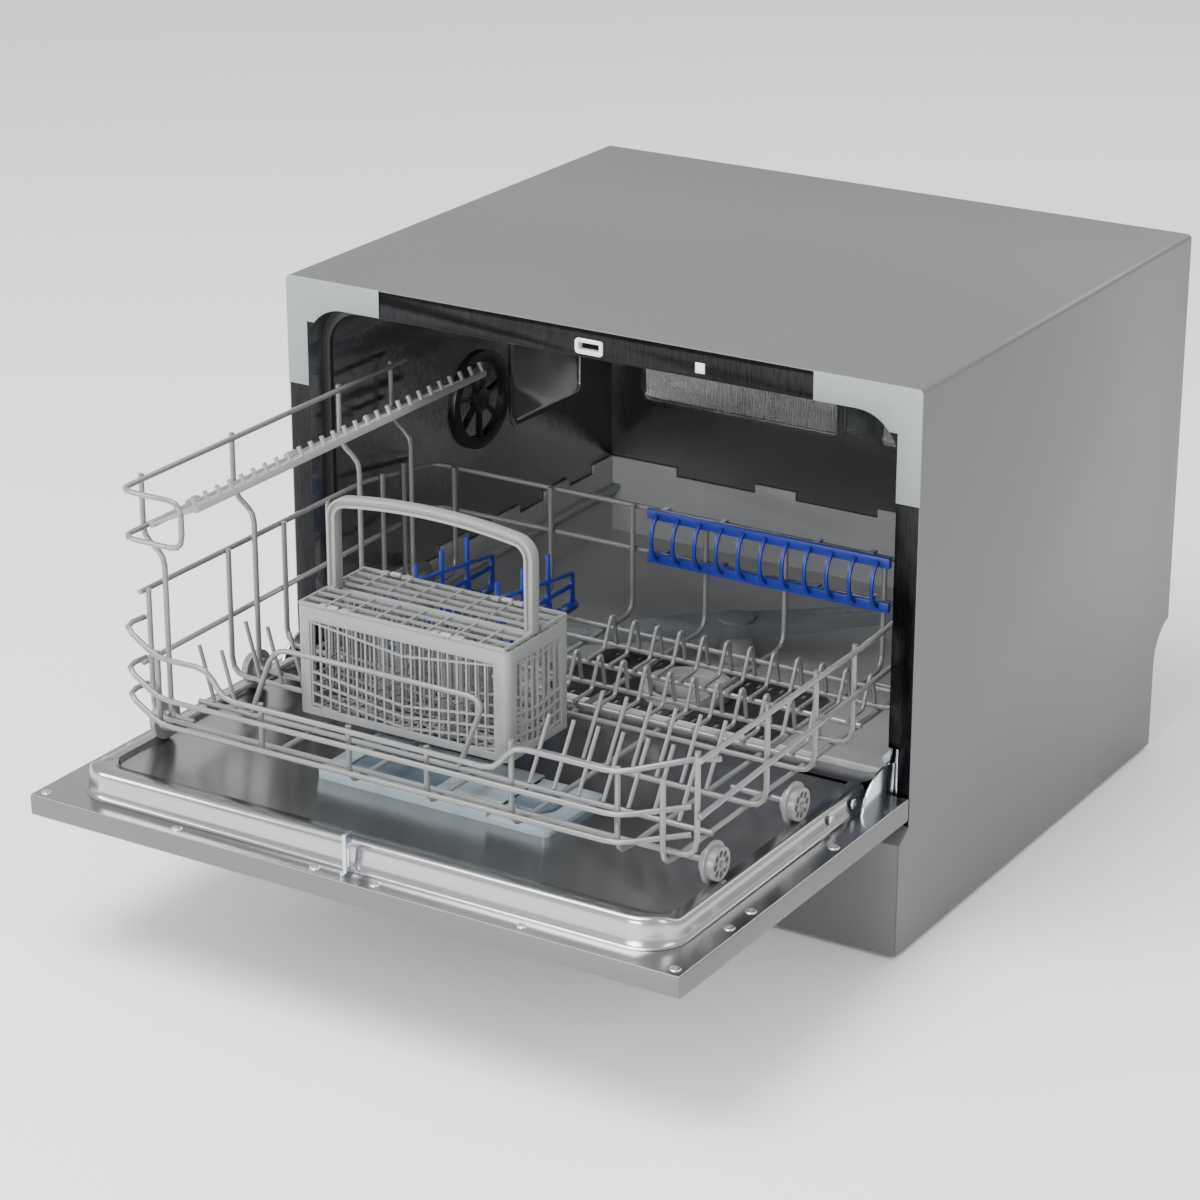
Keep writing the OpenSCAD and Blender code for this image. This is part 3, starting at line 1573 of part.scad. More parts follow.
module cup_shelf() {
  shelf_l = rack_d - shelf_short;
  n = floor(shelf_l / shelf_spacing);
  y0 = gallery_ys[0] - 2 * wire_r - bend_r / 2;
  bar = shelf_w * 0.08;
  rib = bar / 2;
  clip_r = wire_r * 2.1;
  in_x0 = 2.5 * clip_r;
  color([0.68, 0.69, 0.68])
  placed()
  translate([gallery_x, y0, gallery_low])
    rotate([0, -shelf_tilt, 0]) {
      translate([in_x0, 0, -bar / 2])
        cube([bar, shelf_l, bar]);
      translate([shelf_w - bar, 0, -bar / 2])
        cube([bar, shelf_l, bar]);
      for (i = [0 : n])
        translate([in_x0, i * shelf_spacing, -rib / 2])
          cube([shelf_w - in_x0, rib, rib]);
      for (i = [0 : n])
        translate([shelf_w - bar / 2 - rib / 2, i * shelf_spacing, 0])
          cube([rib, rib, bar * 2]);
      for (i = [0 : 2])
        translate([0, (gallery_ys[i] + gallery_ys[i + 1]) / 2 - y0, 0])
          rotate([90, 0, 0])
            linear_extrude(2 * bar, center = true)
              difference() {
                union() {
                  circle(clip_r);
                  translate([0, -rib / 2])
                    square([in_x0 + rib, rib]);
                }
                circle(wire_r + free_gap * 0.4);
                translate([-clip_r / 4, -clip_r * 2])
                  square([clip_r / 2, clip_r * 2]);
              }
    }
}

// One fold-down comb on its pivot wire: collars, bar and upright spikes
module fold_comb(x) {
  l = comb_l;
  y0 = comb_y - l / 2;
  collar = wire_r * 1.9;
  bar = spike_r * 1.3;
  foot = 3 * spike_r;
  low = spike_h * 0.5;
  high = spike_h * 0.75;
  color([0.16, 0.24, 0.72])
  placed()
  translate([x, y0, pivot_wire_z]) {
    difference() {
      union() {
        translate([0, -bar, 0])
          rotate([-90, 0, 0])
            cylinder(r = collar, h = l + 2 * bar);
        for (i = [0 : comb_gaps])
          translate([0, i * spike_spacing, 0]) {
            cylinder(r = spike_r, h = i < comb_gaps ? spike_h : low);
            slab_x(-spike_r * 0.6, spike_r * 0.6)
              polygon([[-foot, 0], [i < comb_gaps ? foot : bar, 0], [spike_r / 2, low],
                [-spike_r / 2, low]]);
          }
        translate([-bar / 2, 0, spike_h * 0.3])
          cube([bar, l, bar]);
        straight_wire([0, spike_spacing, high], [0, l, low], spike_r * 0.9);
      }
      translate([0, -2 * over, 0])
        rotate([-90, 0, 0])
          cylinder(r = wire_r + 3 * run_gap, h = l + 4 * over);
      for (yc = [cross_ys[3], cross_ys[4], cross_ys[5]])
        translate([-2 * collar, yc - y0 - 2 * wire_r, -2 * collar])
          cube([4 * collar, 4 * wire_r, 3.5 * collar]);
    }
  }
}

module fold_comb_outer() {
  fold_comb(comb_xs[0]);
}

module fold_comb_inner() {
  fold_comb(comb_xs[1]);
}

// A flat lattice of nx by ny openings with a rim
module lattice(w, h, nx, ny, rim) {
  px = (w - 2 * rim + bar_w) / nx;
  py = (h - 2 * rim + bar_w) / ny;
  difference() {
    square([w, h]);
    for (i = [0 : nx - 1], j = [0 : ny - 1])
      translate([rim + i * px, rim + j * py])
        square([px - bar_w, py - bar_w]);
  }
}

module cutlery_basket() {
  t = basket_t;
  x0 = basket_x - basket_w / 2;
  y0 = basket_y - basket_d / 2;
  rim = 2 * bar_w;
  spine = handle_w * 1.1;
  color([0.66, 0.67, 0.66])
  placed() {
    for (y = [y0, y0 + basket_d - t])
      translate([x0, y + t, basket_z])
        rotate([90, 0, 0])
          linear_extrude(t)
            lattice(basket_w, basket_h, mesh_nx, mesh_nz, rim);
    for (x = [x0, x0 + basket_w - t])
      translate([x, y0, basket_z])
        rotate([90, 0, 90])
          linear_extrude(t)
            lattice(basket_d, basket_h, mesh_ny, mesh_nz, rim);
    translate([x0, y0, basket_z])
      linear_extrude(t)
        lattice(basket_w, basket_d, mesh_nx, mesh_ny, rim);
    translate([x0, basket_y - t / 2, basket_z])
      cube([basket_w, t, basket_h * 0.8]);
    for (i = [1, 2])
      translate([x0 + i * basket_w / 3 - t / 2, y0, basket_z])
        cube([t, basket_d, basket_h * 0.8]);
    translate([x0, basket_y - spine / 2, basket_top - 2 * t])
      cube([basket_w, spine, 2 * t]);
  }
}

module basket_handle() {
  half = basket_w / 2 - basket_t;
  t = handle_w * 0.7;
  bow = handle_bow;
  crown_fn = 2 * $fn;
  arc_r = (half * half + bow * bow) / (2 * bow);
  z1 = basket_top + handle_h - bow;
  color([0.6, 0.61, 0.6])
  placed()
  difference() {
    slab_y(basket_y - handle_w / 2, basket_y + handle_w / 2)
      translate([basket_x, 0])
        difference() {
          union() {
            translate([-half, basket_top + seat_gap])
              square([2 * half, z1 - basket_top]);
            intersection() {
              translate([0, z1 + bow - arc_r])
                circle(arc_r, $fn = crown_fn);
              translate([-half, z1])
                square([2 * half, 2 * bow]);
            }
          }
          translate([-half + t, 0])
            square([2 * (half - t), z1 - t]);
          intersection() {
            translate([0, z1 + bow - t - arc_r])
              circle(arc_r, $fn = crown_fn);
            translate([-half + t, z1 - 2 * t])
              square([2 * (half - t), 3 * bow]);
          }
        }
    for (s = [-1, 1])
      translate([basket_x + s * half - t * 0.25, basket_y - handle_w * 0.3, basket_top + t])
        cube([t * 0.5, handle_w * 0.6, handle_h - 3 * t]);
  }
}

// One grid lid, hinged along the basket's long outer edge; s is -1 in front and 1 behind
module basket_lid(s) {
  w = basket_w - 2 * basket_t;
  d = (basket_d - handle_w) / 2 - 3 * free_gap;
  x0 = basket_x - w / 2;
  z0 = basket_top + free_gap / 2;
  y_hinge = basket_y + s * basket_d / 2;
  knuckle = basket_lid_t / 2;
  color([0.66, 0.67, 0.66])
  placed() {
    translate([x0, s < 0 ? y_hinge : y_hinge - d, z0])
      linear_extrude(basket_lid_t)
        lattice(w, d, mesh_nx, 3, bar_w);
    for (x = [0.2, 0.72])
      rod_x(x0 + w * x, x0 + w * (x + 0.09), y_hinge, z0 + knuckle, knuckle);
  }
}

module basket_lid_front() {
  basket_lid(-1);
}

module basket_lid_rear() {
  basket_lid(1);
}

outer_casing();
rear_panel();
base_tray();
kick_plate();
feet();
tub_shell();
tub_base();
tub_rails();
corner_brackets();
latch_keeper();
indicator_window();
door_seal();
tub_vent();
mesh_filter();
sump();
wash_pump();
drain_pump();
flow_heater();
softener();
inlet_valve();
drain_outlet();
cord_gland();
hinge_brackets();
arm_spindle();
door_panel();
door_liner();
hinge_arms();
control_fascia();
latch_hook();
dispenser_body();
door_screws();
spray_arm();
filter_cup();
salt_cap();
dispenser_lid();
rinse_cap();
button_power();
button_program();
button_delay();
button_start();
rack_frame();
rack_floor();
rack_gallery();
looped_tines();
slanted_tines();
wheel_left_front();
wheel_left_mid();
wheel_left_rear();
wheel_right_front();
wheel_right_mid();
wheel_right_rear();
rail_clip();
cup_shelf();
fold_comb_outer();
fold_comb_inner();
cutlery_basket();
basket_handle();
basket_lid_front();
basket_lid_rear();
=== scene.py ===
import math

import bpy
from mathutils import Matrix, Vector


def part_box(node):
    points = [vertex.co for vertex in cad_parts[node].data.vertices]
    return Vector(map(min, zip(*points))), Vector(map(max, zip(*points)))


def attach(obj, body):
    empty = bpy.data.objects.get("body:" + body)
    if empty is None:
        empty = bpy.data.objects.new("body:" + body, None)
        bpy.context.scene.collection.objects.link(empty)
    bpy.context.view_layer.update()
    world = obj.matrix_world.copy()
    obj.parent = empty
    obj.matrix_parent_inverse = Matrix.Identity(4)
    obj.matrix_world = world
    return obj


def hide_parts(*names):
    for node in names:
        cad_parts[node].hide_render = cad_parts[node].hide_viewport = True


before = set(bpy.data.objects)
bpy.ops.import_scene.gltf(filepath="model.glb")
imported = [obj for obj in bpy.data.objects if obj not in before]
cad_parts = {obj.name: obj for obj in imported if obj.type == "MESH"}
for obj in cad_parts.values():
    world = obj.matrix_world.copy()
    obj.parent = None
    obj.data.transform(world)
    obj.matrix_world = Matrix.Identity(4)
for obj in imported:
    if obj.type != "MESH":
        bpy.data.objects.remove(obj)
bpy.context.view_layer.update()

# Studio. A pale sheet of board lies under the appliance and soft boxes hang around it, so that the
# grey paint stays even and the steel mirrors long pale shapes. The camera stands at the front right.

bpy.ops.object.select_all(action="DESELECT")
bpy.ops.mesh.primitive_plane_add(size=14, location=(0, 0, 0))
backdrop = bpy.context.active_object
backdrop.name = "studio_floor"
bpy.ops.object.mode_set(mode="EDIT")
bpy.ops.mesh.subdivide(number_cuts=3)
bpy.ops.object.mode_set(mode="OBJECT")
board = bpy.data.materials.new("pale_board")
board.use_nodes = True
board_shader = board.node_tree.nodes["Principled BSDF"]
board_shader.inputs["Roughness"].default_value = 0.8
board_noise = board.node_tree.nodes.new("ShaderNodeTexNoise")
board_place = board.node_tree.nodes.new("ShaderNodeTexCoord")
board_ramp = board.node_tree.nodes.new("ShaderNodeValToRGB")
board_noise.inputs["Scale"].default_value = 1.2
board_ramp.color_ramp.elements[0].color = (0.93, 0.93, 0.93, 1)
board_ramp.color_ramp.elements[1].color = (0.96, 0.96, 0.96, 1)
board.node_tree.links.new(board_place.outputs["Object"], board_noise.inputs["Vector"])
board.node_tree.links.new(board_noise.outputs["Fac"], board_ramp.inputs["Fac"])
board.node_tree.links.new(board_ramp.outputs["Color"], board_shader.inputs["Base Color"])
backdrop.data.materials.append(board)

air = bpy.data.worlds.new("studio_air")
bpy.context.scene.world = air
air.use_nodes = True
air.node_tree.nodes["Background"].inputs["Color"].default_value = (1, 1, 1, 1)
air.node_tree.nodes["Background"].inputs["Strength"].default_value = 0.85


def soft_box(name, place, target, width, height, power):
    """Hangs one soft box that looks at a point."""
    lamp = bpy.data.lights.new(name, "AREA")
    lamp.shape = "RECTANGLE"
    lamp.size = width
    lamp.size_y = height
    lamp.energy = power
    holder = bpy.data.objects.new(name, lamp)
    bpy.context.scene.collection.objects.link(holder)
    holder.location = place
    dx, dy, dz = (target[i] - place[i] for i in range(3))
    holder.rotation_euler = (math.atan2(math.hypot(dx, dy), -dz), 0, math.atan2(-dx, dy))


soft_box("overhead_box", (-0.5, -1.1, 2.8), (0, 0, 0.2), 1.8, 1.6, 120)
soft_box("front_box", (0.2, -3.0, 0.9), (0, 0, 0.25), 1.2, 0.8, 55)
soft_box("front_left_box", (-2.4, -2.2, 1.4), (0, -0.1, 0.2), 0.8, 1.4, 50)
soft_box("right_box", (2.8, -0.4, 1.6), (0.2, 0, 0.2), 1.0, 1.4, 30)
soft_box("rear_box", (0.4, 2.8, 1.8), (0, 0, 0.3), 2.0, 1.2, 20)

looks_down = math.radians(21.43)
looks_round = math.radians(31.73)
eye = bpy.data.cameras.new("photo_camera")
eye.sensor_width = 36
eye.lens = 107.91
eye.clip_end = 40
camera = bpy.data.objects.new("photo_camera", eye)
bpy.context.scene.collection.objects.link(camera)
camera.location = (1.3376, -2.2183, 1.2175)
camera.rotation_euler = (math.radians(90) - looks_down, 0, looks_round)
bpy.context.scene.camera = camera

# Outer casing. One sheet of steel is folded over the top and down both sides and painted in a metallic
# silver grey. Its rear is closed by a galvanised panel, and a painted kick plate closes it low in front.


def effect(name, inputs):
    """Starts a node group with named inputs that gives a colour, a roughness and a normal."""
    tree = bpy.data.node_groups.new(name, "ShaderNodeTree")
    for label, value in inputs:
        kind = "NodeSocketColor" if isinstance(value, tuple) else "NodeSocketFloat"
        tree.interface.new_socket(label, in_out="INPUT", socket_type=kind).default_value = value
    for label, kind in (("Colour", "Color"), ("Roughness", "Float"), ("Normal", "Vector")):
        tree.interface.new_socket(label, in_out="OUTPUT", socket_type="NodeSocket" + kind)
    return tree, tree.nodes.new("NodeGroupInput"), tree.nodes.new("NodeGroupOutput")


def ranged(tree, source, low, high):
    """Maps a mask onto the span between two sockets."""
    node = tree.nodes.new("ShaderNodeMapRange")
    node.inputs["From Min"].default_value = 0.3
    node.inputs["From Max"].default_value = 0.7
    tree.links.new(source, node.inputs["Value"])
    tree.links.new(low, node.inputs["To Min"])
    tree.links.new(high, node.inputs["To Max"])
    return node.outputs["Result"]


def toned(tree, colour, amount):
    """Darkens or lightens a colour by a mask around one."""
    node = tree.nodes.new("ShaderNodeVectorMath")
    node.operation = "SCALE"
    tree.links.new(colour, node.inputs[0])
    tree.links.new(amount, node.inputs["Scale"])
    return node.outputs["Vector"]


def skin_effect(name, stretch, far_scale, wave=0.0):
    """A fine grain with a slow drift over it, drawn out along one direction; wave dents it softly."""
    tree, start, end = effect(name, [("Colour", (0.5, 0.5, 0.5, 1)), ("Grain", 900.0), ("Dark", 0.94),
                                     ("Light", 1.05), ("Gloss", 0.4), ("Matt", 0.5), ("Bump", 0.1)])
    place = tree.nodes.new("ShaderNodeTexCoord")
    pull = tree.nodes.new("ShaderNodeMapping")
    pull.inputs["Scale"].default_value = stretch
    fine = tree.nodes.new("ShaderNodeTexNoise")
    fine.inputs["Detail"].default_value = 3
    slow = tree.nodes.new("ShaderNodeTexNoise")
    slow.inputs["Scale"].default_value = far_scale
    slow.inputs["Detail"].default_value = 4
    both = tree.nodes.new("ShaderNodeMath")
    both.operation = "MULTIPLY_ADD"
    both.inputs[1].default_value = 0.5
    half = tree.nodes.new("ShaderNodeMath")
    half.operation = "MULTIPLY"
    half.inputs[1].default_value = 0.5
    relief = tree.nodes.new("ShaderNodeBump")
    relief.inputs["Distance"].default_value = 0.0004
    tree.links.new(place.outputs["Object"], pull.inputs["Vector"])
    tree.links.new(pull.outputs["Vector"], fine.inputs["Vector"])
    tree.links.new(place.outputs["Object"], slow.inputs["Vector"])
    tree.links.new(start.outputs["Grain"], fine.inputs["Scale"])
    tree.links.new(slow.outputs["Fac"], half.inputs[0])
    tree.links.new(fine.outputs["Fac"], both.inputs[0])
    tree.links.new(half.outputs["Value"], both.inputs[2])
    mask = both.outputs["Value"]
    shade = ranged(tree, mask, start.outputs["Dark"], start.outputs["Light"])
    tree.links.new(toned(tree, start.outputs["Colour"], shade), end.inputs["Colour"])
    tree.links.new(ranged(tree, slow.outputs["Fac"], start.outputs["Gloss"], start.outputs["Matt"]),
                   end.inputs["Roughness"])
    swell = tree.nodes.new("ShaderNodeMath")
    swell.operation = "MULTIPLY_ADD"
    swell.inputs[1].default_value = wave
    tree.links.new(slow.outputs["Fac"], swell.inputs[0])
    tree.links.new(fine.outputs["Fac"], swell.inputs[2])
    tree.links.new(swell.outputs["Value"], relief.inputs["Height"])
    tree.links.new(start.outputs["Bump"], relief.inputs["Strength"])
    tree.links.new(relief.outputs["Normal"], end.inputs["Normal"])
    return tree


def finish(name, look, colour, metallic=0.0, coat=0.0, **values):
    """Makes a material whose colour, gloss and relief come from one of the effects."""
    paint = bpy.data.materials.new(name)
    paint.use_nodes = True
    paint.diffuse_color = (*colour, 1)
    shader = paint.node_tree.nodes["Principled BSDF"]
    shader.inputs["Metallic"].default_value = metallic
    shader.inputs["Coat Weight"].default_value = coat
    shader.inputs["Coat Roughness"].default_value = 0.15
    group = paint.node_tree.nodes.new("ShaderNodeGroup")
    group.node_tree = look
    group.inputs["Colour"].default_value = (*colour, 1)
    for label, value in values.items():
        group.inputs[label].default_value = value
    paint.node_tree.links.new(group.outputs["Colour"], shader.inputs["Base Color"])
    paint.node_tree.links.new(group.outputs["Roughness"], shader.inputs["Roughness"])
    paint.node_tree.links.new(group.outputs["Normal"], shader.inputs["Normal"])
    return paint


def only(piece):
    """Selects one piece and makes it the active one."""
    bpy.ops.object.select_all(action="DESELECT")
    piece.select_set(True)
    bpy.context.view_layer.objects.active = piece


def rounded(piece, width, steps, limit=30):
    """Rounds the edges of the active piece that are sharper than a limit."""
    rounding = piece.modifiers.new("eased_edges", "BEVEL")
    rounding.width = width
    rounding.segments = steps
    rounding.limit_method = "ANGLE"
    rounding.angle_limit = math.radians(limit)
    bpy.ops.object.modifier_apply(modifier=rounding.name)


weld = 0.00001
flat_limit = math.radians(0.4)


def dress(node, body, coat_of, ease=0.0, steps=2, crease=35):
    """Welds a copy of a solid, eases its edges, smooths its curves and gives it its finish."""
    piece = bpy.data.objects.new(node + "_shown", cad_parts[node].data.copy())
    bpy.context.scene.collection.objects.link(piece)
    only(piece)
    bpy.ops.object.mode_set(mode="EDIT")
    bpy.ops.mesh.select_all(action="SELECT")
    bpy.ops.mesh.remove_doubles(threshold=weld)
    bpy.ops.mesh.dissolve_limited(angle_limit=flat_limit)
    bpy.ops.object.mode_set(mode="OBJECT")
    if ease:
        rounded(piece, ease, steps, 32)
    bpy.ops.object.shade_smooth_by_angle(angle=math.radians(crease))
    piece.data.materials.clear()
    piece.data.materials.append(coat_of)
    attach(piece, body)
    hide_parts(node)
    return piece


even_skin = skin_effect("even_skin", (1, 1, 1), 5.0)
case_paint = finish("silver_paint", even_skin, (0.125, 0.1245, 0.123), metallic=0.3, coat=0.1,
                    Grain=1500.0, Dark=0.92, Light=1.07, Gloss=0.42, Matt=0.5, Bump=0.05)
zinc_spangle = skin_effect("zinc_spangle", (1, 1, 1), 38.0)
rear_zinc = finish("rear_zinc", zinc_spangle, (0.36, 0.37, 0.37), metallic=0.8,
                   Grain=120.0, Dark=0.86, Light=1.12, Gloss=0.38, Matt=0.56, Bump=0.03)
dress("outer_casing", "cabinet", case_paint, ease=0.0003)
dress("kick_plate", "cabinet", case_paint, ease=0.0003)
dress("rear_panel", "cabinet", rear_zinc, ease=0.0003)

# Base tray and feet. A black moulded tray closes the cabinet underneath and catches leaks; four rubber
# feet are pushed into it. The pumps, the flow heater and the water softener stand in the tray.

tray_black = finish("tray_black", even_skin, (0.03, 0.03, 0.032), Grain=700.0, Dark=0.8, Light=1.25,
                    Gloss=0.5, Matt=0.68, Bump=0.2)
foot_rubber = finish("foot_rubber", even_skin, (0.012, 0.012, 0.012), Grain=1800.0, Dark=0.7, Light=1.4,
                     Gloss=0.75, Matt=0.9, Bump=0.25)
part_white = finish("moulded_white", even_skin, (0.72, 0.73, 0.7), Grain=1100.0, Dark=0.96, Light=1.03,
                    Gloss=0.3, Matt=0.42, Bump=0.06)
pump_grey = finish("pump_grey", even_skin, (0.16, 0.165, 0.17), Grain=900.0, Dark=0.88, Light=1.1,
                   Gloss=0.4, Matt=0.6, Bump=0.15)
dress("base_tray", "cabinet", tray_black, ease=0.0006)
dress("feet", "cabinet", foot_rubber, ease=0.0008)
dress("sump", "cabinet", tray_black, ease=0.0006)
dress("wash_pump", "cabinet", pump_grey, ease=0.001)
dress("drain_pump", "cabinet", pump_grey, ease=0.001)
dress("softener", "cabinet", part_white, ease=0.001)

# Service connections. The inlet valve's threaded spigot, the drain spigot and the cord's gland sit side by
# side in the recess low at the rear, where hoses can leave without pushing the cabinet forward.

fitting_black = finish("fitting_black", even_skin, (0.022, 0.022, 0.024), Grain=1200.0, Dark=0.8,
                       Light=1.3, Gloss=0.4, Matt=0.55, Bump=0.12)
dress("inlet_valve", "cabinet", part_white, ease=0.0006)
dress("drain_outlet", "cabinet", fitting_black, ease=0.0005)
dress("cord_gland", "cabinet", fitting_black, ease=0.0004)

# Tub. The washing chamber is deep drawn and folded from bright stainless sheet, with pressed beads in its
# walls and a mouth frame in front; a dark rubber seal lies against the step behind the mouth.

rolled_skin = skin_effect("rolled_skin", (0.02, 1, 1), 3.0)
drawn_skin = skin_effect("drawn_skin", (1, 1, 0.05), 9.0, wave=9.0)
tub_steel = finish("tub_steel", drawn_skin, (0.36, 0.36, 0.362), metallic=1.0, Grain=1400.0, Dark=0.9,
                   Light=1.08, Gloss=0.05, Matt=0.12, Bump=0.5)
# The mouth frame's steel is painted near black as a painted dark reflection, and its wide Dark to Light
# span lays painted streaks of highlight over it.
mouth_painted_reflection = finish("mouth_painted_reflection", drawn_skin, (0.013, 0.013, 0.014), metallic=1.0, Grain=1400.0, Dark=0.5,
                     Light=2.4, Gloss=0.06, Matt=0.16, Bump=0.4)
seal_rubber = finish("seal_rubber", even_skin, (0.01, 0.01, 0.01), Grain=1600.0, Dark=0.7, Light=1.3,
                     Gloss=0.45, Matt=0.6, Bump=0.1)
mouth_rear = -0.0695
shell = dress("tub_shell", "cabinet", tub_steel, ease=0.0005, crease=40)
# The faces in front of the mouth's rear edge take the painted dark reflection.
shell.data.materials.append(mouth_painted_reflection)
for face in shell.data.polygons:
    if face.center.y < mouth_rear:
        face.material_index = 1
dress("door_seal", "cabinet", seal_rubber, ease=0.001)
dress("flow_heater", "cabinet", tub_steel, ease=0.0004)

# Tub base. The floor of the tub is a grey moulding with a castellated upper edge that clips over the steel
# wall, and two runners are fixed along its sides, on which the rack's wheels roll.

floor_grey = finish("floor_grey", even_skin, (0.4, 0.41, 0.417), Grain=850.0, Dark=0.9, Light=1.1,
                    Gloss=0.3, Matt=0.42, Bump=0.1)
dress("tub_base", "cabinet", floor_grey, ease=0.0006)
dress("tub_rails", "cabinet", floor_grey, ease=0.0006)
dress("arm_spindle", "cabinet", floor_grey, ease=0.0008)

# Filters and vent. A dark steel mesh plate covers the sump around the twist-out filter cup, and a black
# moulded grille with spokes closes the air vent high in the left wall.

mesh_dark = bpy.data.materials.new("mesh_dark")
mesh_dark.use_nodes = True
mesh_tree = mesh_dark.node_tree
mesh_shader = mesh_tree.nodes["Principled BSDF"]
mesh_shader.inputs["Metallic"].default_value = 0.7
mesh_shader.inputs["Roughness"].default_value = 0.42
mesh_place = mesh_tree.nodes.new("ShaderNodeTexCoord")
mesh_cells = mesh_tree.nodes.new("ShaderNodeTexVoronoi")
mesh_cells.inputs["Scale"].default_value = 620
mesh_cells.inputs["Randomness"].default_value = 0.0
mesh_ramp = mesh_tree.nodes.new("ShaderNodeValToRGB")
mesh_ramp.color_ramp.elements[0].position = 0.25
mesh_ramp.color_ramp.elements[0].color = (0.008, 0.008, 0.009, 1)
mesh_ramp.color_ramp.elements[1].position = 0.42
mesh_ramp.color_ramp.elements[1].color = (0.13, 0.13, 0.14, 1)
mesh_relief = mesh_tree.nodes.new("ShaderNodeBump")
mesh_relief.inputs["Strength"].default_value = 0.5
mesh_relief.inputs["Distance"].default_value = 0.0005
mesh_tree.links.new(mesh_place.outputs["Object"], mesh_cells.inputs["Vector"])
mesh_tree.links.new(mesh_cells.outputs["Distance"], mesh_ramp.inputs["Fac"])
mesh_tree.links.new(mesh_ramp.outputs["Color"], mesh_shader.inputs["Base Color"])
mesh_tree.links.new(mesh_cells.outputs["Distance"], mesh_relief.inputs["Height"])
mesh_tree.links.new(mesh_relief.outputs["Normal"], mesh_shader.inputs["Normal"])
arm_grey = finish("arm_grey", even_skin, (0.2, 0.222, 0.236), Grain=900.0, Dark=0.92, Light=1.08,
                  Gloss=0.28, Matt=0.38, Bump=0.08)
vent_black = finish("vent_black", even_skin, (0.012, 0.012, 0.013), Grain=1100.0, Dark=0.8, Light=1.3,
                    Gloss=0.28, Matt=0.4, Bump=0.08)
dress("mesh_filter", "cabinet", mesh_dark, ease=0.0003)
dress("filter_cup", "filter_cup", floor_grey, ease=0.0006)
dress("tub_vent", "cabinet", vent_black, ease=0.0008)

# Spray arm. Two hollow blades of grey plastic are moulded in one wide piece with a row of jets, and the arm
# turns freely on its spindle in the middle of the tub.

dress("spray_arm", "spray_arm", arm_grey, ease=0.0032, steps=4)

# Corner brackets, latch slot and window. Zinc sheet brackets stiffen the mouth's upper corners, and
# between them are the latch's pale moulded slot and a small light window.

bracket_zinc = finish("bracket_zinc", rolled_skin, (0.235, 0.266, 0.262), metallic=0.35, coat=0.1,
                      Grain=900.0, Dark=0.96, Light=1.04, Gloss=0.4, Matt=0.5, Bump=0.02)
dress("corner_brackets", "cabinet", bracket_zinc, ease=0.0003)
dress("latch_keeper", "cabinet", part_white, ease=0.0006)
dress("indicator_window", "cabinet", part_white, ease=0.0002)

# Hinges. Each side has a bright zinc quadrant that is riveted to the door and turns on a pin in a bracket
# behind the mouth frame.

bright_zinc = finish("bright_zinc", even_skin, (0.62, 0.65, 0.72), metallic=1.0, Grain=420.0, Dark=0.85,
                     Light=1.1, Gloss=0.14, Matt=0.3, Bump=0.03)
dress("hinge_arms", "cabinet", bright_zinc, ease=0.0003)
dress("hinge_brackets", "cabinet", bright_zinc, ease=0.0003)

# Door panel and fascia. The outer panel is a painted pan, now facing down, and the control fascia with its
# handle recess and four round push buttons is snapped into its free edge.

fascia_grey = finish("fascia_grey", even_skin, (0.2, 0.2, 0.205), Grain=1200.0, Dark=0.94, Light=1.06,
                     Gloss=0.26, Matt=0.36, Bump=0.05)
button_silver = finish("button_silver", even_skin, (0.55, 0.55, 0.56), metallic=0.3, Grain=1400.0,
                       Dark=0.95, Light=1.05, Gloss=0.25, Matt=0.35, Bump=0.04)
dress("door_panel", "cabinet", case_paint, ease=0.0006)
dress("control_fascia", "cabinet", fascia_grey, ease=0.0006)
for button in ("button_power", "button_program", "button_delay", "button_start"):
    dress(button, button, button_silver, ease=0.0006)

# Door liner. A stainless sheet is pressed into a raised tray with soft shoulders and folded flat around it
# as a flange; the rack's wheels roll on the tray's long sides. It is screwed over the outer panel.

door_front = -0.4015
door_rear = -0.0727
flange_w = 0.5496
flange_z = 0.126
flange_t = 0.001
press_w = 0.51
press_l = 0.3655
press_mid = -0.20275
press_corner = 0.034
press_cut = -0.0957
shoulder = ((0.0015, 0.0004), (0.0012, 0.0012), (0.0008, 0.0025), (0.0006, 0.004), (0.0005, 0.003),
            (0.0008, 0.0022), (0.0015, 0.0014), (0.002, 0.0006), (0.007, 0))
sunk_edge = ((0.0008, -0.0008), (0.0006, -0.0018), (0.001, -0.0013), (0.0015, -0.0005))
front_part_y = -0.3
wide_front_rim = 0.014
foot_top_z = flange_z + 0.002
front_edge_y = -0.37
crest_z = 0.136
front_rise = 0.0062
brushed_steel = finish("brushed_steel", rolled_skin, (0.42, 0.423, 0.426), metallic=1.0, Grain=1100.0,
                       Dark=0.9, Light=1.08, Gloss=0.16, Matt=0.26, Bump=0.05)


def pick(piece, wanted):
    """Goes into edit mode with just the corners selected that a rule asks for."""
    bpy.ops.object.mode_set(mode="EDIT")
    bpy.ops.mesh.select_mode(type="VERT")
    bpy.ops.mesh.select_all(action="DESELECT")
    bpy.ops.object.mode_set(mode="OBJECT")
    for corner in piece.data.vertices:
        corner.select = wanted(corner)
    bpy.ops.object.mode_set(mode="EDIT")


def press(steps):
    """Presses the selected field in and up or down through a row of small steps."""
    for inward, rise in steps:
        bpy.ops.mesh.inset(thickness=inward, depth=rise, use_even_offset=True)


def settle():
    """Moves the active piece's place, turn and scale into its mesh."""
    bpy.ops.object.transform_apply(location=True, rotation=True, scale=True)


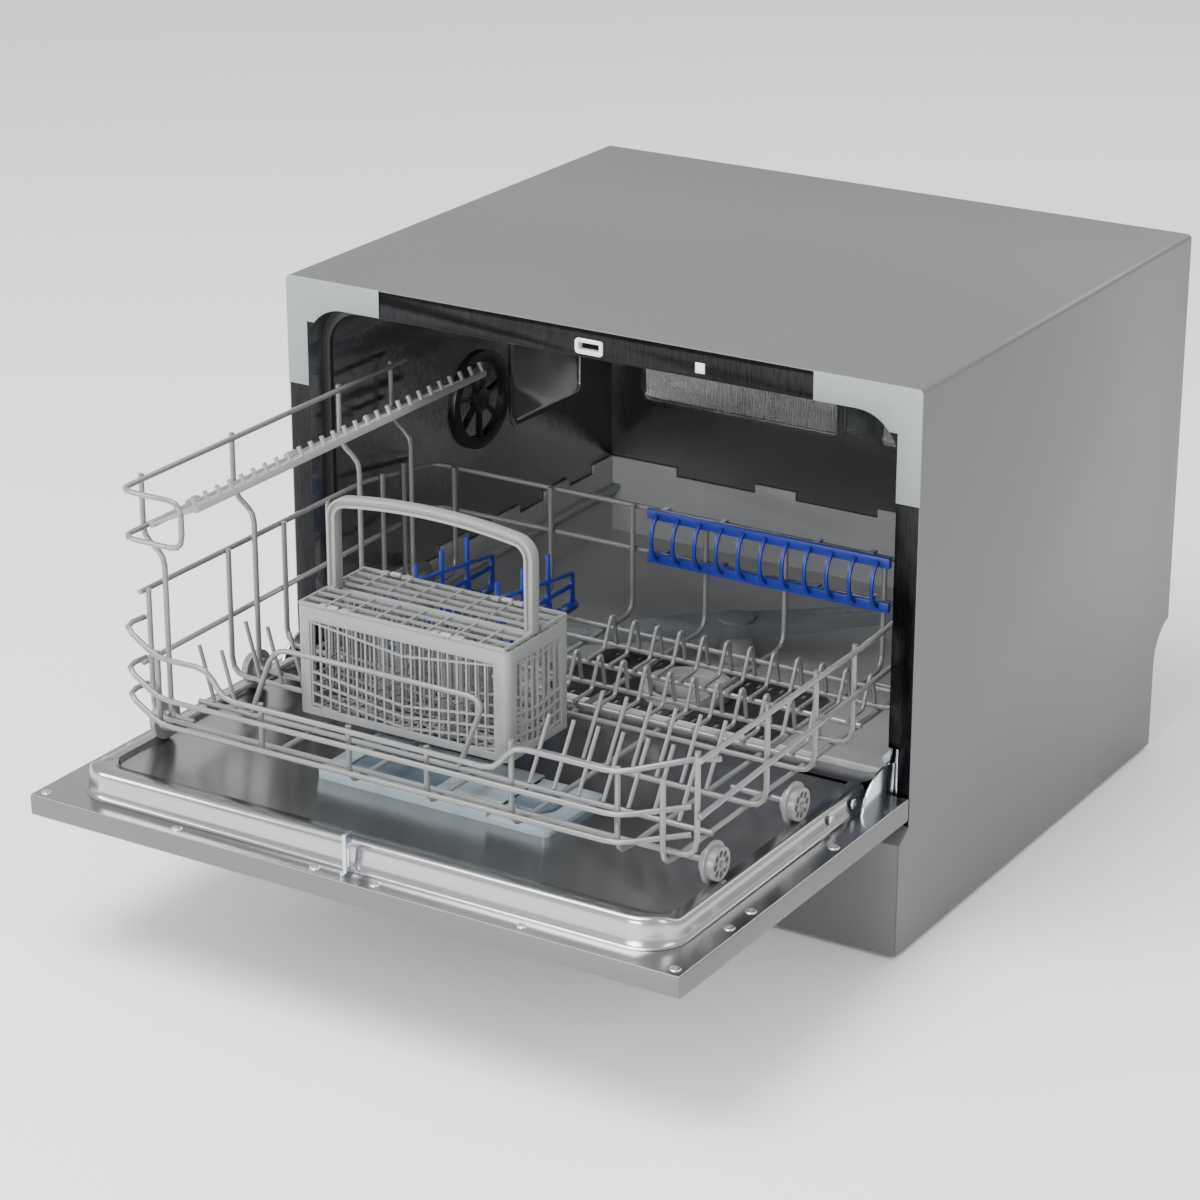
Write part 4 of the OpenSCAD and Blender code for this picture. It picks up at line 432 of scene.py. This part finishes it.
bpy.ops.object.select_all(action="DESELECT")
bpy.ops.mesh.primitive_plane_add(size=1)
liner = bpy.context.active_object
liner.name = "liner_press"
bpy.ops.object.mode_set(mode="EDIT")
bpy.ops.transform.resize(value=(press_w, press_l, 1))
bpy.ops.transform.translate(value=(0, press_mid, flange_z + 0.0002))
bpy.ops.mesh.bevel(offset=press_corner, segments=10, affect="VERTICES")
bpy.ops.mesh.select_all(action="SELECT")
press(shoulder)
bpy.ops.object.mode_set(mode="OBJECT")
field = set(max(liner.data.polygons, key=lambda face: face.area).vertices)
pick(liner, lambda corner: corner.index in field and corner.co.y < front_part_y)
bpy.ops.transform.translate(value=(0, wide_front_rim, 0))
pick(liner, lambda corner: corner.co.z < foot_top_z)
bpy.ops.mesh.hide(unselected=False)
pick(liner, lambda corner: corner.co.y < front_edge_y and corner.co.z > crest_z)
bpy.ops.transform.translate(value=(0, 0, front_rise), use_proportional_edit=True,
                            proportional_edit_falloff="SMOOTH", proportional_size=0.02)
bpy.ops.mesh.reveal(select=False)
pick(liner, lambda corner: corner.index in field)
bpy.ops.mesh.select_mode(type="FACE")
press(sunk_edge)
bpy.ops.mesh.select_all(action="SELECT")
bpy.ops.mesh.bisect(plane_co=(0, press_cut, 0), plane_no=(0, 1, 0), clear_outer=True)
pick(liner, lambda corner: abs(corner.co.y - press_cut) < 0.00002)
bpy.ops.mesh.select_mode(type="EDGE")
bpy.ops.mesh.extrude_edges_move(TRANSFORM_OT_translate={"value": (0, 0, -0.0001)})
bpy.ops.transform.resize(value=(1, 1, 0), center_override=(0, press_cut, flange_z))
bpy.ops.mesh.select_all(action="SELECT")
bpy.ops.mesh.remove_doubles(threshold=0.00005)
bpy.ops.object.mode_set(mode="OBJECT")
bpy.ops.object.shade_smooth_by_angle(angle=math.radians(40))
bpy.ops.object.select_all(action="DESELECT")
bpy.ops.mesh.primitive_cube_add(size=1, location=(0, (door_front + door_rear) / 2, flange_z - flange_t / 2))
bpy.ops.object.mode_set(mode="EDIT")
bpy.ops.transform.resize(value=(flange_w, door_rear - door_front - 0.0004, flange_t))
bpy.ops.mesh.bevel(offset=0.0003, segments=2, affect="EDGES")
bpy.ops.object.mode_set(mode="OBJECT")
settle()
liner.select_set(True)
bpy.context.view_layer.objects.active = liner
bpy.ops.object.join()
liner.data.materials.append(brushed_steel)
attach(liner, "cabinet")
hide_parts("door_liner")

# Screws. Small bright pan-head screws with a cross recess hold the liner to the door panel around its
# flange and along the raised tray's sides.

screw_bright = finish("screw_bright", even_skin, (0.7, 0.7, 0.71), metallic=1.0, Grain=900.0, Dark=0.9,
                      Light=1.08, Gloss=0.18, Matt=0.3, Bump=0.03)
head_r = 0.0042
head_t = 0.0016
head_z = 0.0006
cross_z = 0.0014
cross_arm = (0.0046, 0.0009, 0.0012)


def screw_head(name, place, side):
    """Turns one pan head, cuts its cross and lays it flat on the flange, or against a side wall."""
    bpy.ops.object.select_all(action="DESELECT")
    bpy.ops.mesh.primitive_cylinder_add(vertices=28, radius=head_r, depth=head_t, location=(0, 0, head_z))
    head = bpy.context.active_object
    head.name = name
    rounded(head, 0.0008, 3)
    for turn in (25, 115):
        bpy.ops.mesh.primitive_cube_add(size=1, location=(0, 0, cross_z))
        slot_tool = bpy.context.active_object
        bpy.ops.object.mode_set(mode="EDIT")
        bpy.ops.transform.resize(value=cross_arm)
        bpy.ops.transform.rotate(value=math.radians(turn), orient_axis="Z", center_override=(0, 0, 0))
        bpy.ops.object.mode_set(mode="OBJECT")
        only(head)
        cut = head.modifiers.new("recess", "BOOLEAN")
        cut.operation = "DIFFERENCE"
        cut.object = slot_tool
        bpy.ops.object.modifier_apply(modifier=cut.name)
        bpy.data.objects.remove(slot_tool)
    only(head)
    bpy.ops.object.shade_smooth_by_angle(angle=math.radians(35))
    if side:
        head.rotation_euler = (0, math.radians(90 * side), 0)
    head.location = place
    settle()
    head.data.materials.append(screw_bright)
    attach(head, "cabinet")
    return head


front_row_y = -0.3925
side_row_x = 0.2675
wall_x = 0.2532
wall_z = 0.1344
heads = []
for x in (-0.267, -0.147, -0.0255, 0.0255, 0.147, 0.267):
    heads.append(((x, front_row_y, flange_z), 0))
for side in (-1, 1):
    for reach in (0.0795, 0.1092, 0.2284):
        heads.append(((side * side_row_x, door_front + reach, flange_z), 0))
    for reach in (0.2516, 0.2847):
        heads.append(((side * wall_x, door_front + reach, wall_z), side))
made = [screw_head("liner_screw_%02d" % i, place, side) for i, (place, side) in enumerate(heads)]
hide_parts("door_screws")

# Latch hook. A hook of bent zinc-plated sheet is screwed under the liner, stands on the flange's middle and
# catches in the slot above the mouth.

dress("latch_hook", "cabinet", bright_zinc, ease=0.0003)

# Detergent dispenser. A pale blue-grey moulding is let into the liner; a dark lid slides over its powder
# cup, and beside it is the turning cap of the rinse aid tank.

dispenser_pale = finish("dispenser_pale", even_skin, (0.22, 0.27, 0.295), coat=0.2, Grain=900.0,
                        Dark=0.95, Light=1.05, Gloss=0.18, Matt=0.28, Bump=0.05)
dispenser_dark = finish("dispenser_dark", even_skin, (0.07, 0.095, 0.12), coat=0.2, Grain=900.0,
                        Dark=0.92, Light=1.1, Gloss=0.16, Matt=0.28, Bump=0.05)
dress("dispenser_body", "cabinet", dispenser_pale, ease=0.001, steps=3)
dress("dispenser_lid", "dispenser_lid", dispenser_dark, ease=0.0003)
dress("rinse_cap", "rinse_cap", dispenser_dark, ease=0.0008)
dress("salt_cap", "salt_cap", dispenser_pale, ease=0.001)

# Rack wires. Round steel wires are bent, welded where they cross and dipped in grey polyamide, which gives
# them a soft even sheen and slightly thick joints.

wire_grey = finish("wire_grey", even_skin, (0.16, 0.162, 0.16), coat=0.9, Grain=1300.0, Dark=0.9, Light=1.1,
                   Gloss=0.16, Matt=0.26, Bump=0.06)
for wires in ("rack_frame", "rack_floor", "rack_gallery"):
    dress(wires, "rack", wire_grey, crease=58)
dress("slanted_tines", "rack", wire_grey, crease=68)

# Looped tines. Each is one coated wire that rises from its cross wire, turns over in a narrow crown and
# runs level to the next rail, so that a plate leans in the gap between two of them.


def copied(piece, name, shift):
    """Copies a finished piece, with a mesh of its own, and moves the copy."""
    twin = piece.copy()
    twin.data = piece.data.copy()
    twin.name = name
    bpy.context.scene.collection.objects.link(twin)
    only(twin)
    twin.location = shift
    settle()
    return twin


def joined(pieces):
    """Joins finished pieces into the first of them."""
    bpy.ops.object.select_all(action="DESELECT")
    for piece in pieces:
        piece.select_set(True)
    bpy.context.view_layer.objects.active = pieces[0]
    bpy.ops.object.join()
    return pieces[0]


tine_r = 0.0016
rear_lean = math.radians(10)
rear_rise = (0, -0.00386, 0.0219)
crown_turn = math.radians(146)
crown_centre = (0, -0.00672, 0.0214)
fore_drop = (0, -0.0082, -0.01842)
foot_turn = math.radians(66)
foot_centre = (0, -0.02214, 0.0062)
level_run = (0, -0.02146, 0)
tine_gap = 0.0205
rear_x, rear_y = -0.01304, -0.0091
fore_x, fore_y = 0.00093, -0.0831
foot_z = 0.1655
bpy.ops.object.select_all(action="DESELECT")
bpy.ops.mesh.primitive_circle_add(vertices=12, radius=tine_r, fill_type="NGON", rotation=(rear_lean, 0, 0))
loop = bpy.context.active_object
loop.name = "looped_tine"
settle()
bpy.ops.object.mode_set(mode="EDIT")
bpy.ops.mesh.select_all(action="SELECT")
bpy.ops.mesh.extrude_region_move(TRANSFORM_OT_translate={"value": rear_rise})
bpy.ops.mesh.spin(steps=10, angle=-crown_turn, center=crown_centre, axis=(1, 0, 0))
bpy.ops.mesh.extrude_region_move(TRANSFORM_OT_translate={"value": fore_drop})
bpy.ops.mesh.spin(steps=6, angle=foot_turn, center=foot_centre, axis=(1, 0, 0))
bpy.ops.mesh.extrude_region_move(TRANSFORM_OT_translate={"value": level_run})
bpy.ops.mesh.select_all(action="SELECT")
bpy.ops.mesh.remove_doubles(threshold=weld)
bpy.ops.mesh.normals_make_consistent(inside=False)
bpy.ops.object.mode_set(mode="OBJECT")
bpy.ops.object.shade_smooth_by_angle(angle=math.radians(50))
loop.data.materials.append(wire_grey)
rear_row = [(rear_x + tine_gap * i, rear_y, foot_z) for i in range(12)]
fore_row = [(fore_x + tine_gap * i, fore_y, foot_z) for i in range(11)]
loops = [copied(loop, "loop_%02d" % i, place) for i, place in enumerate(rear_row + fore_row)]
bpy.data.objects.remove(loop)
loops = joined(loops)
loops.name = "looped_tines_shown"
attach(loops, "rack")
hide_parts("looped_tines")

# Rack wheels. Six grey moulded wheels turn on stub axles below the rack's sides; each has a flange that
# keeps it on its runner and eight openings between its spokes.

wheel_grey = finish("wheel_grey", even_skin, (0.165, 0.169, 0.169), coat=0.4, Grain=900.0,
                    Dark=0.92, Light=1.08, Gloss=0.3, Matt=0.42, Bump=0.1)
for side in ("left", "right"):
    for row in ("front", "mid", "rear"):
        wheel = "wheel_%s_%s" % (side, row)
        dress(wheel, wheel, wheel_grey, ease=0.0004)

# Cup shelf. A toothed grey grille, moulded in one, is clipped on the gallery's lower wire. It leans up
# into the rack and folds up against its side.

rack_grey = finish("rack_grey", even_skin, (0.23, 0.236, 0.232), coat=0.2, Grain=1000.0, Dark=0.92,
                   Light=1.08, Gloss=0.28, Matt=0.4, Bump=0.08)
dress("cup_shelf", "cup_shelf", rack_grey, ease=0.0003)

# Blue clips and combs. Deep blue moulded pieces: a ribbed strip on the rear wires that spaces plates, and
# two spiked combs that fold down on their floor wires.

clip_blue = finish("clip_blue", even_skin, (0.013, 0.028, 0.25), Grain=1000.0, Dark=0.9, Light=1.12,
                   Gloss=0.28, Matt=0.4, Bump=0.06)
dress("rail_clip", "rack", clip_blue, ease=0.0004)
dress("fold_comb_outer", "comb_outer", clip_blue, ease=0.0003)
dress("fold_comb_inner", "comb_inner", clip_blue, ease=0.0003)

# Cutlery basket. A grey frame with a broad upper band carries walls of thin ribs whose level ribs sag to
# the middle; dividers of the same ribs part it in six, and a ribbed floor closes it. It is moulded in one.

basket_low, basket_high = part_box("cutlery_basket")
basket_size = [basket_high[i] - basket_low[i] for i in range(3)]
basket_mid = [(basket_high[i] + basket_low[i]) / 2 for i in range(3)]
corner_r = 0.005
post_w = 0.006
band_drop = 0.0055
shell_t = 0.0022
rib_t = 0.0016
rib_w = 0.0015
rib_inset = 0.0014
rib_trim = 0.008
rib_foot = 0.001
rib_heights = [-0.012, -0.0078, 0.0008, 0.0094, 0.018, 0.0266, 0.0352, 0.0745, 0.081]
long_cells, long_sag = 22, 0.011
end_cells, end_sag = 10, 0.005
floor_rim = 0.0015
floor_rib_w = 0.0018
spine_w = 0.0066
spine_t = 0.0036


def pick_faces(piece, wanted):
    """Goes into edit mode with just the faces selected that a rule asks for."""
    bpy.ops.object.mode_set(mode="EDIT")
    bpy.ops.mesh.select_mode(type="FACE")
    bpy.ops.mesh.select_all(action="DESELECT")
    bpy.ops.object.mode_set(mode="OBJECT")
    for face in piece.data.polygons:
        face.select = wanted(face)
    bpy.ops.object.mode_set(mode="EDIT")


def thickened(sheet, thickness, offset=0):
    """Gives the active sheet its thickness."""
    depth = sheet.modifiers.new("depth", "SOLIDIFY")
    depth.thickness = thickness
    depth.offset = offset
    bpy.ops.object.modifier_apply(modifier=depth.name)


def rib_wall(name, width, heights, columns, rib, sag, floor):
    """Cuts a flat wall of thin ribs from a grid, lets its level ribs sag and trims it at its floor."""
    bpy.ops.object.select_all(action="DESELECT")
    bpy.ops.mesh.primitive_grid_add(x_subdivisions=columns, y_subdivisions=len(heights) - 1, size=1)
    wall = bpy.context.active_object
    wall.name = name
    bpy.ops.object.mode_set(mode="EDIT")
    bpy.ops.transform.resize(value=(width, 1, 1))
    for row, height in enumerate(heights):
        pick(wall, lambda corner: corner.index // (columns + 1) == row)
        bpy.ops.transform.translate(value=(0, height + 0.5 - row / (len(heights) - 1), 0))
    if sag:
        pick(wall, lambda corner: corner.index // (columns + 1) in (0, len(heights) - 1))
        bpy.ops.mesh.hide(unselected=False)
        pick(wall, lambda corner: abs(corner.co.x) < 0.6 * width / columns and not corner.hide)
        bpy.ops.transform.translate(value=(0, -sag, 0), use_proportional_edit=True,
                                    proportional_edit_falloff="LINEAR", proportional_size=width / 2)
        bpy.ops.mesh.reveal(select=True)
    bpy.ops.mesh.select_mode(type="FACE")
    bpy.ops.mesh.select_all(action="SELECT")
    bpy.ops.mesh.inset(thickness=rib / 2, use_individual=True)
    bpy.ops.mesh.delete(type="FACE")
    bpy.ops.mesh.select_all(action="SELECT")
    bpy.ops.mesh.bisect(plane_co=(0, floor, 0), plane_no=(0, 1, 0), clear_inner=True)
    bpy.ops.object.mode_set(mode="OBJECT")
    thickened(wall, rib_t)
    return wall


def stood(wall, turn, place):
    """Stands a flat wall up, turns it about the upright axis and sets it in its place."""
    only(wall)
    wall.rotation_euler = (math.radians(90), 0, turn)
    wall.location = place
    settle()
    return wall


bpy.ops.object.select_all(action="DESELECT")
bpy.ops.mesh.primitive_cube_add(size=1, location=basket_mid)
frame_box = bpy.context.active_object
frame_box.name = "cutlery_basket_shown"
frame_box.scale = basket_size
settle()
bpy.ops.object.mode_set(mode="EDIT")
bpy.ops.mesh.select_mode(type="EDGE")
bpy.ops.mesh.select_all(action="DESELECT")
bpy.ops.object.mode_set(mode="OBJECT")
for edge in frame_box.data.edges:
    low, high = (frame_box.data.vertices[i].co for i in edge.vertices)
    edge.select = abs(low.z - high.z) > 0.05
bpy.ops.object.mode_set(mode="EDIT")
bpy.ops.mesh.bevel(offset=corner_r, segments=5, affect="EDGES")
pick_faces(frame_box, lambda face: abs(face.normal.z) < 0.1 and face.area > 0.003)
bpy.ops.mesh.inset(thickness=post_w, use_individual=True)
bpy.ops.mesh.delete(type="FACE")
pick(frame_box, lambda corner: abs(corner.co.z - basket_high[2] + post_w) < 0.0005)
bpy.ops.transform.translate(value=(0, 0, -band_drop))
pick_faces(frame_box, lambda face: abs(face.normal.z) > 0.9)
bpy.ops.mesh.inset(thickness=0.0005, use_individual=True)
bpy.ops.mesh.delete(type="FACE")
bpy.ops.object.mode_set(mode="OBJECT")
thickened(frame_box, shell_t, -1)
rounded(frame_box, 0.0004, 2)
bpy.ops.object.shade_smooth_by_angle(angle=math.radians(35))

long_wall = rib_wall("long_ribs", basket_size[0] - rib_trim, rib_heights, long_cells, rib_w, long_sag,
                     rib_foot)
long_wall = stood(long_wall, 0, (basket_mid[0], basket_low[1] + rib_inset, basket_low[2]))
end_wall = rib_wall("end_ribs", basket_size[1] - rib_trim, rib_heights, end_cells, rib_w, end_sag,
                    rib_foot)
end_wall = stood(end_wall, math.radians(90), (basket_low[0] + rib_inset, basket_mid[1], basket_low[2]))
floor_step = (basket_size[1] - 2 * floor_rim) / end_cells
floor_rows = [floor_rim + i * floor_step for i in range(end_cells + 1)]
basket_floor = rib_wall("floor_ribs", basket_size[0] - 2 * floor_rim, floor_rows, long_cells, floor_rib_w,
                        0, 0.0005)
only(basket_floor)
basket_floor.location = (basket_mid[0], basket_low[1], basket_low[2] + rib_foot)
settle()
parts = [frame_box, long_wall, end_wall, basket_floor]
for i, share in enumerate((0.5, 1)):
    parts.append(copied(long_wall, "long_ribs_%d" % i, (0, share * (basket_size[1] - 2 * rib_inset), 0)))
for i in range(3):
    shift = (i + 1) * (basket_size[0] - 2 * rib_inset) / 3
    parts.append(copied(end_wall, "end_ribs_%d" % i, (shift, 0, 0)))
bpy.ops.mesh.primitive_cube_add(size=1, location=(basket_mid[0], basket_mid[1], basket_high[2] - 0.0022))
spine = bpy.context.active_object
spine.scale = (basket_size[0] - 0.002, spine_w, spine_t)
settle()
pick_faces(spine, lambda face: face.normal.z > 0.9)
bpy.ops.mesh.inset(thickness=0.0016, depth=-0.0024)
bpy.ops.object.mode_set(mode="OBJECT")
parts.append(spine)
basket_shown = joined(parts)
basket_shown.data.materials.append(rack_grey)
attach(basket_shown, "basket")
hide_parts("cutlery_basket")

# Basket handle. A grey moulded bail, hollowed along its front and its rear, spans the basket from end to
# end. Its upper corners are round, its back is slightly arched and its feet stand on the basket's band.

handle_low, handle_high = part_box("basket_handle")
handle_mid = [(handle_high[i] + handle_low[i]) / 2 for i in range(3)]
bail_w = 0.0074
bail_d = 0.0098
flank_w = 0.0021
hollow_d = 0.0026
turn_r = 0.0135
lean = math.radians(8.5)
bail_x = (handle_high[0] - handle_low[0] - bail_w) / 2
arch_r = (bail_x - turn_r + turn_r * math.sin(lean)) / math.sin(lean)
crown_z = handle_high[2] - bail_w / 2
arch_z = crown_z - arch_r
leg_z = arch_z + (arch_r - turn_r) * math.cos(lean)
bpy.ops.object.select_all(action="DESELECT")
bpy.ops.mesh.primitive_plane_add(size=1, location=(handle_mid[0] - bail_x, handle_mid[1], handle_low[2]))
bail = bpy.context.active_object
bail.name = "basket_handle_shown"
bail.scale = (bail_w, bail_d, 1)
settle()
bpy.ops.object.mode_set(mode="EDIT")
bpy.ops.mesh.select_all(action="SELECT")
bpy.ops.mesh.extrude_region_move(TRANSFORM_OT_translate={"value": (0, 0, leg_z - handle_low[2])})
bpy.ops.mesh.spin(steps=8, angle=lean - math.radians(90), axis=(0, 1, 0),
                  center=(handle_mid[0] - bail_x + turn_r, handle_mid[1], leg_z))
bpy.ops.mesh.spin(steps=16, angle=-2 * lean, axis=(0, 1, 0), center=(handle_mid[0], handle_mid[1], arch_z))
bpy.ops.mesh.spin(steps=8, angle=lean - math.radians(90), axis=(0, 1, 0),
                  center=(handle_mid[0] + bail_x - turn_r, handle_mid[1], leg_z))
bpy.ops.mesh.extrude_region_move(TRANSFORM_OT_translate={"value": (0, 0, handle_low[2] - leg_z)})
bpy.ops.mesh.select_all(action="SELECT")
bpy.ops.mesh.remove_doubles(threshold=weld)
bpy.ops.mesh.normals_make_consistent(inside=False)
for side in (-1, 1):
    pick_faces(bail, lambda face: face.normal.y * side > 0.9)
    bpy.ops.mesh.inset(thickness=flank_w, depth=0)
    bpy.ops.mesh.inset(thickness=0.0003, depth=-hollow_d)
bpy.ops.object.mode_set(mode="OBJECT")
rounded(bail, 0.0006, 2, 50)
bpy.ops.object.shade_smooth_by_angle(angle=math.radians(30))
bail.data.materials.append(rack_grey)
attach(bail, "basket")
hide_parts("basket_handle")

# Basket lids. Two open grids of grey plastic with wide cells lie on the band; each is clipped to its long
# edge by two small moulded hinges and keeps the cutlery apart when it is put in from above.

lid_t = 0.0022
lid_trim = 0.0016
lid_rim = 0.001
half_rib = 0.0008
knuckle_r = 0.0022
knuckle_l = 0.0085
knuckle_shares = (0.17, 0.72)
clip_plates = ((0.0105, 0.008), (-0.0095, 0.006))
plate_w = 0.0052
plate_t = 0.0032


def grid_lid(node, body, side):
    """Cuts one lid from a grid of wide cells and adds its two hinge clips."""
    low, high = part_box(node)
    middle = [(low[i] + high[i]) / 2 for i in range(3)]
    hinge_y = high[1] if side > 0 else low[1]
    bpy.ops.object.select_all(action="DESELECT")
    bpy.ops.mesh.primitive_grid_add(x_subdivisions=8, y_subdivisions=3, size=1, location=middle)
    lid = bpy.context.active_object
    lid.name = node + "_shown"
    lid.scale = (high[0] - low[0], high[1] - low[1] - lid_trim, 1)
    settle()
    bpy.ops.object.mode_set(mode="EDIT")
    bpy.ops.mesh.select_mode(type="FACE")
    bpy.ops.mesh.select_all(action="SELECT")
    bpy.ops.mesh.inset(thickness=lid_rim)
    bpy.ops.mesh.inset(thickness=half_rib, use_individual=True)
    bpy.ops.mesh.delete(type="FACE")
    bpy.ops.object.mode_set(mode="OBJECT")
    thickened(lid, lid_t)
    clips = [lid]
    for share in knuckle_shares:
        x = low[0] + share * (high[0] - low[0])
        bpy.ops.object.select_all(action="DESELECT")
        bpy.ops.mesh.primitive_cylinder_add(vertices=20, radius=knuckle_r, depth=knuckle_l,
                                            rotation=(0, math.radians(90), 0),
                                            location=(x, hinge_y - side * knuckle_r, middle[2] + 0.0006))
        clips.append(bpy.context.active_object)
        rounded(clips[-1], 0.0005, 2)
        settle()
        for shift, length in clip_plates:
            bpy.ops.object.select_all(action="DESELECT")
            plate_place = (x + shift, hinge_y - side * 0.0028, middle[2] + 0.0004)
            bpy.ops.mesh.primitive_cube_add(size=1, location=plate_place)
            clips.append(bpy.context.active_object)
            clips[-1].scale = (length, plate_w, plate_t)
            settle()
            bpy.ops.object.mode_set(mode="EDIT")
            bpy.ops.mesh.select_all(action="SELECT")
            bpy.ops.mesh.bevel(offset=0.0008, segments=2, affect="EDGES")
            bpy.ops.object.mode_set(mode="OBJECT")
    joined(clips)
    bpy.ops.object.shade_smooth_by_angle(angle=math.radians(35))
    lid.data.materials.clear()
    lid.data.materials.append(rack_grey)
    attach(lid, body)
    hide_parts(node)


grid_lid("basket_lid_front", "basket_lid_front", -1)
grid_lid("basket_lid_rear", "basket_lid_rear", 1)
